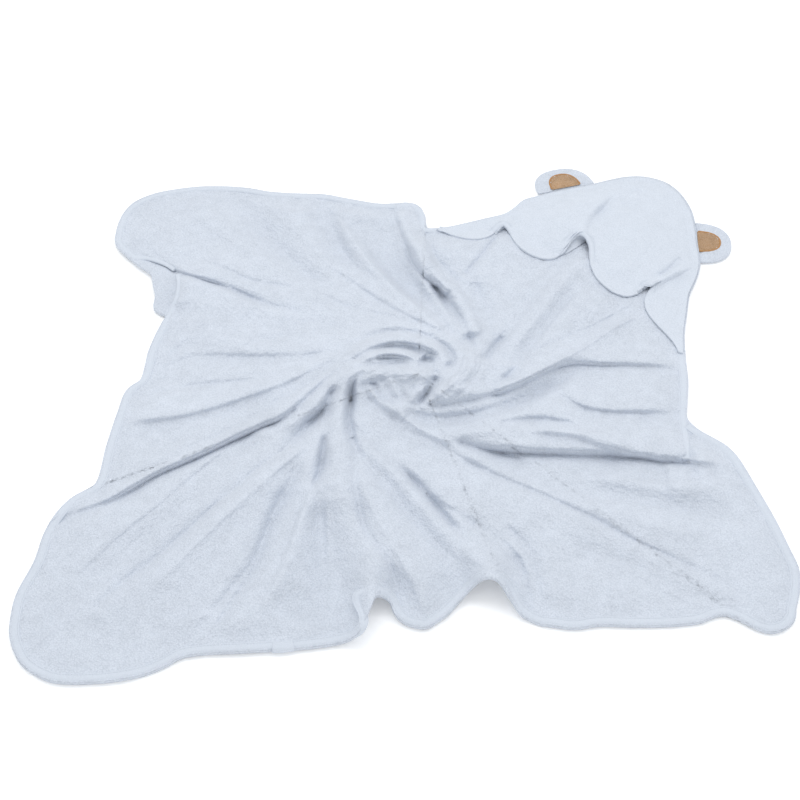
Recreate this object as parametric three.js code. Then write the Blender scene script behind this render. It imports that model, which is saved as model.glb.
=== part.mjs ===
// Hooded baby towel with two bear ears, laid on a flat surface and twisted into a swirl at its middle.
// Millimetres, +Z up. The origin is the centre of the bounding box's base, so the towel rests on z = 0.
import * as THREE from 'three';

// ---- driving dimensions -------------------------------------------------
const TERRY = 4.0;            // terry sheet thickness, pile included
const TAPE = 0.9;             // woven binding tape thickness
const TAPE_WIDTH = 11.0;      // width of the binding as seen from above
const TAPE_WEB = 1.2;         // tape that wraps the cut edge
const SLIP = 0.6;             // play between neighbouring layers
const HOOD_THICK = 3.5;       // hood terry thickness
const HOOD_HEM_WIDTH = 8.5;   // binding on the free edge of the hood
const THREAD = 0.9;           // sewing thread thickness as modelled
const EAR_LAYER = 2.5;        // one terry layer of an ear
const EAR_WIDTH = 80.0;       // ear width along its seam
const EAR_HEIGHT = 44.0;      // how far an ear stands out of the seam
const PATCH_THICK = 1.2;      // tan plush patch on the ear's front
const PATCH_SCALE = 0.66;     // patch size against the ear
const SWIRL_TURN = 60;        // degrees of twist at SWIRL_RADIUS
const SWIRL_RADIUS = 97;
const SWIRL_POWER = 2.2;
const STATIONS = 132;         // cross-sections round the rim
const RINGS = [0.95, 0.86, 0.75, 0.64, 0.53, 0.43, 0.34, 0.27, 0.21, 0.15, 0.09];
const CENTRE = new THREE.Vector2(21, 6);

// Outer edge of the binding: x, y, and how far the rim is lifted by a fold.
const RIM = [
  [407, -302, 0], [396, -324, 0], [376, -332, 0], [350, -320, 0], [330, -313, 0], [305, -319, 0], [275, -323, 0],
  [238, -324, 0], [200, -323, 0], [172, -326, 0], [146, -321, 0], [126, -311, 3], [112, -299, 13], [95, -293, 23],
  [77, -295, 18], [59, -304, 8], [41, -317, 1], [25, -326, 0], [8, -321, 2], [-8, -311, 10], [-25, -309, 16],
  [-41, -321, 8], [-58, -337, 1], [-85, -348, 0], [-115, -352, 0], [-160, -355, 0], [-205, -359, 0], [-232, -373, 0],
  [-262, -385, 0], [-305, -392, 0], [-345, -390, 0], [-373, -375, 0], [-390, -352, 0], [-397, -318, 0], [-396, -283, 0],
  [-387, -240, 0], [-380, -203, 0], [-369, -168, 0], [-354, -146, 0], [-338, -126, 0], [-332, -70, 0], [-325, -5, 0],
  [-314, 28, 0], [-305, 70, 0], [-298, 110, 0], [-294, 150, 0], [-303, 195, 0], [-318, 232, 0], [-345, 256, 0],
  [-368, 288, 0], [-371, 325, 0], [-362, 360, 0], [-340, 386, 0], [-306, 401, 0], [-262, 408, 0], [-215, 405, 0],
  [-160, 396, 0], [-97, 391, 0], [-55, 379, 0], [-18, 372, 0], [8, 370, 0], [26, 356, 0], [38, 334, 0],
  [62, 322, 0], [96, 332, 0], [132, 345, 0], [152, 365, 0], [178, 385, 0], [222, 402, 0], [266, 416, 0],
  [306, 429, 0], [333, 430, 0], [358, 419, 0], [376, 393, 0], [385, 358, 0], [387, 322, 0], [383, 285, 0],
  [378, 245, 0], [366, 198, 0], [352, 140, 0], [345, 95, 0], [341, 33, 0], [333, -22, 0], [342, -52, 0],
  [362, -68, 0], [382, -96, 0], [394, -138, 0], [406, -183, 0], [416, -240, 0], [415, -275, 0],
];
// Free edge of the hood, from its sewn end on the back rim to its sewn end on the side rim.
const HOOD_EDGE = [
  [58, 300, 0], [84, 293, 1], [108, 289, 3], [130, 290, 12], [143, 284, 18], [157, 268, 12], [178, 252, 3],
  [200, 248, 2], [214, 246, 12], [229, 243, 24], [241, 232, 27], [247, 215, 16], [252, 195, 5], [268, 179, 2],
  [285, 176, 3], [299, 175, 8], [308, 166, 12], [313, 150, 8], [316, 130, 2], [318, 112, 0],
];
// Seam chord of each ear: middle point on the outer rim and outward direction.
const EARS = { left: { at: [222, 404], out: [-0.287, 0.958] }, right: { at: [388.5, 284], out: [0.995, -0.09] } };

// ---- cloth colours ------------------------------------------------------
const white = (c, r) => new THREE.MeshStandardMaterial({ color: c, roughness: r, metalness: 0 });
const TERRY_WHITE = white(0xe2e7ef, 0.97);
const TAPE_WHITE = white(0xe9edf3, 0.85);
const THREAD_WHITE = white(0xf1f3f6, 0.7);
const TAN = white(0xc9986b, 0.95);

// ---- helpers ------------------------------------------------------------
function closedCurve(points, n) {
  const c = new THREE.CatmullRomCurve3(points.map((p) => new THREE.Vector3(p[0], p[1], p[2])), true, 'centripetal');
  const out = [];
  for (let i = 0; i < n; i++) { const p = c.getPointAt(i / n); p.z = Math.max(0, p.z); out.push(p); }
  return out;
}
function openCurve(points, n) {
  const c = new THREE.CatmullRomCurve3(points.map((p) => new THREE.Vector3(p[0], p[1], p[2])), false, 'centripetal');
  const out = [];
  for (let i = 0; i <= n; i++) { const p = c.getPointAt(i / n); p.z = Math.max(0, p.z); out.push(p); }
  return out;
}
// Inward normals in plan, mitred, on a curve that runs with the cloth on the given side (+1 left, -1 right).
function inward(curve, closed, side) {
  const n = curve.length;
  const pick = (i) => curve[closed ? (i + 2 * n) % n : Math.min(n - 1, Math.max(0, i))];
  return curve.map((p, i) => {
    const t = new THREE.Vector2();
    for (const k of [1, 2]) t.add(new THREE.Vector2(pick(i + k).x - pick(i - k).x, pick(i + k).y - pick(i - k).y));
    t.normalize();
    return new THREE.Vector2(-t.y * side, t.x * side);
  });
}
function solid(positions, triangles) {
  const g = new THREE.BufferGeometry();
  g.setAttribute('position', new THREE.Float32BufferAttribute(positions, 3));
  g.setIndex(triangles);
  // faces point outwards when the signed volume is positive
  let v = 0;
  const a = new THREE.Vector3(), b = new THREE.Vector3(), c = new THREE.Vector3();
  for (let i = 0; i < triangles.length; i += 3) {
    a.fromArray(positions, 3 * triangles[i]); b.fromArray(positions, 3 * triangles[i + 1]); c.fromArray(positions, 3 * triangles[i + 2]);
    v += a.dot(b.cross(c));
  }
  if (v < 0) for (let i = 0; i < triangles.length; i += 3) { const t = triangles[i]; triangles[i] = triangles[i + 1]; triangles[i + 1] = t; }
  g.setIndex(triangles);
  g.computeVertexNormals();
  return g;
}
// A closed section of (inset, height) points swept along an open run of stations.
function sweep(curve, normals, section, from, to) {
  const pos = [], tri = [], m = section.length, n = to - from + 1;
  for (let i = from; i <= to; i++) {
    const k = (i + curve.length) % curve.length, p = curve[k], q = normals[k];
    for (const [d, h] of section) pos.push(p.x + q.x * d, p.y + q.y * d, p.z + h);
  }
  for (let i = 0; i < n - 1; i++) for (let j = 0; j < m; j++) {
    const a = i * m + j, b = i * m + (j + 1) % m, c = a + m, d = b + m;
    tri.push(a, b, c, b, d, c);
  }
  const shape = THREE.ShapeUtils.triangulateShape(section.map(([d, h]) => new THREE.Vector2(d, h)), []);
  for (const [a, b, c] of shape) {
    tri.push(a, c, b);
    tri.push((n - 1) * m + a, (n - 1) * m + b, (n - 1) * m + c);
  }
  return solid(pos, tri);
}
const smooth = (a, b, x) => { const t = Math.min(1, Math.max(0, (x - a) / (b - a))); return t * t * (3 - 2 * t); };

// ---- towel sheet --------------------------------------------------------
const rim = closedCurve(RIM, STATIONS);
const rimIn = inward(rim, true, -1);           // the table runs clockwise seen from above
const SHEET_LIFT = TAPE + SLIP;                // sheet underside where the tape passes below it
// Twist of the cloth at a radius from the middle, in degrees; it grows towards the bunch and stops growing inside it.
const twist = (r) => -SWIRL_TURN * Math.pow(SWIRL_RADIUS / Math.max(r, 86), SWIRL_POWER);
// Height of the sheet over the surface: shallow radial folds that wind up into the middle bunch.
function foldHeight(origin, r) {
  const a = origin * Math.PI / 180;
  const ripple = 0.5 + 0.5 * Math.sin(11 * a + 0.6);
  const flank = smooth(300, 150, r);
  const theta = ((origin + twist(r)) % 360 + 360) % 360;
  const underHood = smooth(6, 16, theta) * smooth(98, 88, theta) * smooth(130, 200, r);
  const bunch = 34 * Math.exp(-Math.pow(r / 62, 2));
  return 13 * ripple * flank * (1 - underHood) + bunch;
}
function sheet() {
  const pos = [], tri = [];
  const rows = [];                              // each row: upper ring then lower ring
  const ring = (pts) => { const top = [], bot = []; for (const [x, y, zt, zb] of pts) { top.push(pos.length / 3); pos.push(x, y, zt); } for (const [x, y, zt, zb] of pts) { bot.push(pos.length / 3); pos.push(x, y, zb); } rows.push([top, bot]); };
  const at = (d) => rim.map((p, i) => [p.x + rimIn[i].x * d, p.y + rimIn[i].y * d, p.z + SHEET_LIFT + TERRY, p.z + SHEET_LIFT]);
  ring(at(TAPE_WEB + SLIP));
  ring(at(TAPE_WIDTH + 1));
  const inner = rim.map((p, i) => [p.x + rimIn[i].x * (TAPE_WIDTH + 1), p.y + rimIn[i].y * (TAPE_WIDTH + 1), p.z]);
  for (const s of RINGS) {
    ring(inner.map(([x, y, z]) => {
      const dx = x - CENTRE.x, dy = y - CENTRE.y, r = Math.hypot(dx, dy) * s, a0 = Math.atan2(dy, dx);
      const origin = a0 * 180 / Math.PI, turn = (twist(r) - twist(Math.hypot(dx, dy))) * Math.PI / 180;
      const px = CENTRE.x + r * Math.cos(a0 + turn), py = CENTRE.y + r * Math.sin(a0 + turn);
      const h = foldHeight(origin, r) + z * smooth(0.62, 1, s);
      return [px, py, h + TERRY, Math.max(0, h)];
    }));
  }
  const N = STATIONS;
  for (let r = 0; r < rows.length - 1; r++) for (let i = 0; i < N; i++) {
    const j = (i + 1) % N;
    for (const side of [0, 1]) {
      const a = rows[r][side][i], b = rows[r][side][j], c = rows[r + 1][side][i], d = rows[r + 1][side][j];
      if (side === 0) tri.push(a, b, c, b, d, c); else tri.push(a, c, b, b, c, d);
    }
  }
  for (let i = 0; i < N; i++) {                  // cut edge
    const j = (i + 1) % N, a = rows[0][0][i], b = rows[0][0][j], c = rows[0][1][i], d = rows[0][1][j];
    tri.push(a, c, b, b, c, d);
  }
  const last = rows[rows.length - 1];            // the middle of the bunch
  const hc = foldHeight(0, 0);
  const t = pos.length / 3; pos.push(CENTRE.x, CENTRE.y, hc + TERRY, CENTRE.x, CENTRE.y, hc);
  for (let i = 0; i < N; i++) {
    const j = (i + 1) % N;
    tri.push(last[0][i], last[0][j], t, last[1][i], t + 1, last[1][j]);
  }
  return solid(pos, tri);
}

// ---- binding round the rim ---------------------------------------------
const TAPE_TOP = SHEET_LIFT + TERRY + SLIP + TAPE;
const uSection = [[0, 0], [TAPE_WIDTH, 0], [TAPE_WIDTH, TAPE], [TAPE_WEB, TAPE], [TAPE_WEB, TAPE_TOP - TAPE],
  [TAPE_WIDTH, TAPE_TOP - TAPE], [TAPE_WIDTH, TAPE_TOP], [0, TAPE_TOP]];
// The tape starts and ends on the front edge, where its lapped end shows as a small tab.
const joinIndex = rim.reduce((best, p, i) => (p.distanceTo(new THREE.Vector3(-113, -352, 0)) < rim[best].distanceTo(new THREE.Vector3(-113, -352, 0)) ? i : best), 0);
function binding() { return sweep(rim, rimIn, uSection, joinIndex + 1, joinIndex + STATIONS); }
// The tab covers the short length where the two tape ends meet.
function bindingJoin() {
  const a = rim[joinIndex], b = rim[(joinIndex + 1) % STATIONS], na = rimIn[joinIndex], nb = rimIn[(joinIndex + 1) % STATIONS];
  const mix = (t) => [new THREE.Vector3().lerpVectors(a, b, t), new THREE.Vector2().lerpVectors(na, nb, t).normalize()];
  const cut = [0.03, 0.5, 0.97].map(mix);
  const sec = uSection.map(([d, h]) => [d === 0 ? -1.6 : d, h]);
  return sweep(cut.map((c) => c[0]), cut.map((c) => c[1]), sec, 0, 2);
}
function bindingThread() {
  const d = TAPE_WIDTH - 2.2, z = TAPE_TOP + 0.3, w = THREAD / 2;
  return sweep(rim, rimIn, [[d - w, z], [d + w, z], [d + w, z + THREAD * 0.7], [d - w, z + THREAD * 0.7]], joinIndex + 2, joinIndex + STATIONS - 1);
}

// ---- hood ---------------------------------------------------------------
const HOOD_SPAN = 40;
const HOOD_SEAT = SHEET_LIFT + TERRY + SLIP;    // hood underside where it lies on the sheet
const hoodFree = openCurve(HOOD_EDGE, HOOD_SPAN);
const hoodIn = inward(hoodFree, false, 1);      // towards the towel's corner
// Rim run that the hood is sewn along, set just inside the tape.
function hoodRim() {
  const pts = rim.map((p, i) => ({ i, x: p.x, y: p.y }));
  const near = (x, y) => pts.reduce((b, p) => ((p.x - x) ** 2 + (p.y - y) ** 2 < (b.x - x) ** 2 + (b.y - y) ** 2 ? p : b), pts[0]).i;
  const a = near(60, 322), b = near(345, 92);
  const run = [];
  for (let k = a; k !== (b + 1) % STATIONS; k = (k + 1) % STATIONS) {
    const p = rim[k], q = rimIn[k], d = TAPE_WIDTH + 2.2;
    run.push(new THREE.Vector3(p.x + q.x * d, p.y + q.y * d, 0));
  }
  const c = new THREE.CatmullRomCurve3(run, false, 'centripetal');
  const out = [];
  for (let i = 0; i <= HOOD_SPAN; i++) out.push(c.getPointAt(i / HOOD_SPAN));
  return out;
}
function hood() {
  const outer = hoodRim();
  const V = [0, 0.12, 0.27, 0.42, 0.57, 0.72, 0.86];
  const pos = [], tri = [], rows = [];
  const row = (pts) => { const top = [], bot = []; for (const p of pts) { top.push(pos.length / 3); pos.push(p[0], p[1], p[2] + HOOD_THICK); } for (const p of pts) { bot.push(pos.length / 3); pos.push(p[0], p[1], p[2]); } rows.push([top, bot]); };
  const edge = hoodFree.map((p, i) => [p.x + hoodIn[i].x * (HOOD_HEM_WIDTH + 1), p.y + hoodIn[i].y * (HOOD_HEM_WIDTH + 1), p.z + HOOD_SEAT + TAPE + SLIP]);
  for (const v of V) row(outer.map((p, i) => {
    const q = edge[i], u = i / HOOD_SPAN, ends = Math.sin(Math.PI * u);
    const belly = 26 * Math.pow(Math.sin(Math.PI * v), 0.75) * Math.pow(ends, 0.7);
    return [p.x + (q[0] - p.x) * v, p.y + (q[1] - p.y) * v, HOOD_SEAT + (q[2] - HOOD_SEAT) * v + belly];
  }));
  row(edge);
  row(hoodFree.map((p, i) => [p.x + hoodIn[i].x * (TAPE_WEB + SLIP), p.y + hoodIn[i].y * (TAPE_WEB + SLIP), p.z + HOOD_SEAT + TAPE + SLIP]));
  const n = HOOD_SPAN;
  for (let r = 0; r < rows.length - 1; r++) for (let i = 0; i < n; i++) for (const side of [0, 1]) {
    const a = rows[r][side][i], b = rows[r][side][i + 1], c = rows[r + 1][side][i], d = rows[r + 1][side][i + 1];
    if (side === 0) tri.push(a, c, b, b, c, d); else tri.push(a, b, c, b, d, c);
  }
  const wall = (a, b, c, d) => tri.push(a, b, c, b, d, c);
  const R = rows.length - 1;
  for (let i = 0; i < n; i++) { wall(rows[0][0][i], rows[0][0][i + 1], rows[0][1][i], rows[0][1][i + 1]); wall(rows[R][0][i + 1], rows[R][0][i], rows[R][1][i + 1], rows[R][1][i]); }
  for (let r = 0; r < R; r++) { wall(rows[r + 1][0][0], rows[r][0][0], rows[r + 1][1][0], rows[r][1][0]); wall(rows[r][0][n], rows[r + 1][0][n], rows[r][1][n], rows[r + 1][1][n]); }
  return solid(pos, tri);
}
const HEM_TOP = HOOD_SEAT + 2 * TAPE + 2 * SLIP + HOOD_THICK;
const hemSection = [[0, HOOD_SEAT], [HOOD_HEM_WIDTH, HOOD_SEAT], [HOOD_HEM_WIDTH, HOOD_SEAT + TAPE], [TAPE_WEB, HOOD_SEAT + TAPE],
  [TAPE_WEB, HEM_TOP - TAPE], [HOOD_HEM_WIDTH, HEM_TOP - TAPE], [HOOD_HEM_WIDTH, HEM_TOP], [0, HEM_TOP]];
function hoodHem() { return sweep(hoodFree, hoodIn, hemSection, 0, HOOD_SPAN); }
function hoodThread() {
  const d = HOOD_HEM_WIDTH - 1.8, z = HEM_TOP + 0.3, w = THREAD / 2;
  return sweep(hoodFree, hoodIn, [[d - w, z], [d + w, z], [d + w, z + THREAD * 0.7], [d - w, z + THREAD * 0.7]], 0, HOOD_SPAN);
}

// ---- ears ---------------------------------------------------------------
// Outline of an ear, seam along y = 0, standing out towards +y.
function earShape(scale) {
  const w = EAR_WIDTH / 2 * scale, h = EAR_HEIGHT * scale, s = new THREE.Shape();
  s.moveTo(-w, 0);
  s.bezierCurveTo(-w * 1.06, h * 0.62, -w * 0.62, h, 0, h);
  s.bezierCurveTo(w * 0.62, h, w * 1.06, h * 0.62, w, 0);
  s.closePath();
  return s;
}
function extrude(shape, z, t) {
  const g = new THREE.ExtrudeGeometry(shape, { depth: t, bevelEnabled: false, curveSegments: 14 });
  g.translate(0, 0, z);
  return g;
}
function ear(side) {
  const g = new THREE.Group();
  const { at, out } = EARS[side];
  const place = (name, geom, mat) => { const m = new THREE.Mesh(geom, mat); m.name = name; g.add(m); };
  const z0 = 0.4, z1 = z0 + EAR_LAYER + 0.3, z2 = z1 + EAR_LAYER + 0.3;
  place(`ear_${side}_back`, extrude(earShape(1), z0, EAR_LAYER), TERRY_WHITE);
  place(`ear_${side}_front`, extrude(earShape(0.985), z1, EAR_LAYER), TERRY_WHITE);
  const patch = extrude(earShape(PATCH_SCALE), z2, PATCH_THICK); patch.translate(0, 2.5, 0);
  place(`ear_${side}_inner`, patch, TAN);
  // satin stitch round the patch: a flat ring on the front layer
  const ring = earShape(PATCH_SCALE + 0.075), hole = earShape(PATCH_SCALE + 0.022);
  ring.holes.push(new THREE.Path(hole.getPoints(14).map((p) => new THREE.Vector2(p.x, p.y + 0.75)).reverse()));
  const st = new THREE.ExtrudeGeometry(ring, { depth: 0.8, bevelEnabled: false, curveSegments: 14 });
  st.translate(0, 1.6, z2);
  place(`ear_${side}_stitching`, st, TAN);
  // the seam line runs just outside the furthest reach of the binding along the ear's width
  const reach = closedCurve(RIM, 900).reduce((m, p) => {
    const along = -(p.x - at[0]) * out[1] + (p.y - at[1]) * out[0], away = (p.x - at[0]) * out[0] + (p.y - at[1]) * out[1];
    return Math.abs(along) < EAR_WIDTH / 2 + 2 && Math.abs(away) < 30 ? Math.max(m, away) : m;
  }, -10) + 0.5;
  g.position.set(at[0] + out[0] * reach, at[1] + out[1] * reach, 0);
  g.rotation.z = Math.atan2(out[1], out[0]) - Math.PI / 2;
  return g;
}

// ---- assembly -----------------------------------------------------------
const towel = new THREE.Group();
const add = (name, geom, mat) => { const m = new THREE.Mesh(geom, mat); m.name = name; towel.add(m); };
add('towel_panel', sheet(), TERRY_WHITE);
add('edge_binding', binding(), TAPE_WHITE);
add('binding_join', bindingJoin(), TAPE_WHITE);
add('binding_stitching', bindingThread(), THREAD_WHITE);
add('hood_panel', hood(), TERRY_WHITE);
add('hood_hem', hoodHem(), TAPE_WHITE);
add('hood_hem_stitching', hoodThread(), THREAD_WHITE);
towel.add(ear('left'), ear('right'));

// The origin goes to the middle of the base of the whole towel's box.
const object = new THREE.Group();
object.add(towel);
towel.updateMatrixWorld(true);
const box = new THREE.Box3().setFromObject(towel, true);
towel.position.set(-(box.min.x + box.max.x) / 2, -(box.min.y + box.max.y) / 2, -box.min.z);

export default object;
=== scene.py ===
# Looks of the hooded baby towel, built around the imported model.  Metres in Blender, millimetres in the tables.
import math
import bpy
import numpy as np
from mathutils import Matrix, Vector


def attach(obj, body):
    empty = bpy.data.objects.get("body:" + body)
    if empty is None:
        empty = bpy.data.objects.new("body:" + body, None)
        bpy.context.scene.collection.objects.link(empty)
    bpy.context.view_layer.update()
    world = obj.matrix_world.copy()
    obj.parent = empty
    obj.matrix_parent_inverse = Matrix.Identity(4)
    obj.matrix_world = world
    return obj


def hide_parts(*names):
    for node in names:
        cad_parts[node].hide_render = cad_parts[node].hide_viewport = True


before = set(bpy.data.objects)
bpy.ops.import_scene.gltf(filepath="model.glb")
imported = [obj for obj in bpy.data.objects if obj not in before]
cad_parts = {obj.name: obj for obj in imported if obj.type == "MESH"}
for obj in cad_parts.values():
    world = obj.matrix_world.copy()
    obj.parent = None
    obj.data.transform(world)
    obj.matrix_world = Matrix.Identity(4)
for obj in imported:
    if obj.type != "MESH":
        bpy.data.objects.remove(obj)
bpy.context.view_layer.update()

RNG = np.random.default_rng(11)

# ------------------------------------------------------------------ frame of the tables
# The tables give where cloth lies on the floor plane as seen along the viewing rays, and its height.
# A point of height z on a ray is pulled towards the eye by z / EYE_Z of the way.
SHIFT = np.array([-15.518, -27.572])
EYE = np.array([0.0, -1272.8, 1272.8])
MID = np.array([22.0, 45.0])


def lift(F, z):
    """floor-plane points F (n,2) and heights z (n) in mm -> true points in metres, row frame"""
    k = (z / EYE[2])[:, None]
    P = F * (1 - k) + EYE[:2] * k + SHIFT
    return np.concatenate([P, z[:, None]], 1) * 0.001


# ------------------------------------------------------------------ outline of the sheet, clockwise
RIM = [
    (407, -302), (403, -316), (392, -327), (376, -332), (360, -326), (345, -315), (332, -310), (320, -313), (307, -319), (278, -323),
    (240, -324), (202, -323), (178, -327), (156, -324), (140, -321), (130, -315), (121, -308), (115, -296), (111, -282), (107, -271),
    (103, -266), (99, -263), (92, -262), (86, -264), (75, -275), (61, -293), (50, -308), (40, -317), (27, -326), (16, -325),
    (6, -321), (-2, -314), (-7, -305), (-11, -293), (-17, -287), (-24, -285), (-30, -286), (-33, -296), (-33, -306), (-32, -316),
    (-33, -325), (-39, -335), (-57, -344), (-85, -350), (-114, -353), (-160, -356), (-203, -359), (-219, -363), (-233, -373), (-252, -383),
    (-280, -390), (-309, -393), (-330, -393), (-348, -390), (-375, -373), (-387, -356), (-395, -336), (-398, -310), (-397, -283),
    (-386, -240), (-382, -203), (-376, -180), (-367, -161), (-357, -148), (-345, -139), (-337, -131), (-332, -70), (-326, -15), (-322, 13),
    (-315, 25), (-307, 33), (-304, 55), (-303, 80), (-298, 110), (-292, 135), (-289, 147), (-298, 153), (-305, 161), (-306, 184), (-311, 205), (-317, 228),
    (-330, 240), (-342, 252), (-356, 268), (-369, 288), (-371, 312), (-369, 338), (-364, 357), (-354, 375), (-331, 392), (-306, 401),
    (-270, 408), (-228, 408), (-201, 404), (-176, 397), (-140, 393), (-102, 391), (-71, 382), (-29, 371), (-8, 371), (8, 373), (20, 370),
    (29, 360), (34, 348), (35, 336), (34, 320), (60, 321), (88, 330), (112, 339), (138, 349), (150, 360), (166, 379), (181, 386),
    (205, 396), (235, 406), (264, 415), (285, 423), (309, 430), (333, 430), (358, 419), (371, 404), (380, 385), (387, 355), (388, 326), (386, 290),
    (383, 243), (374, 215), (363, 189), (354, 150), (346, 112), (342, 70), (340, 33), (335, 0), (331, -30), (338, -43), (345, -51), (357, -61),
    (368, -71), (375, -81), (381, -94), (393, -135), (406, -183), (414, -222), (419, -250), (416, -275),
]

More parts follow.
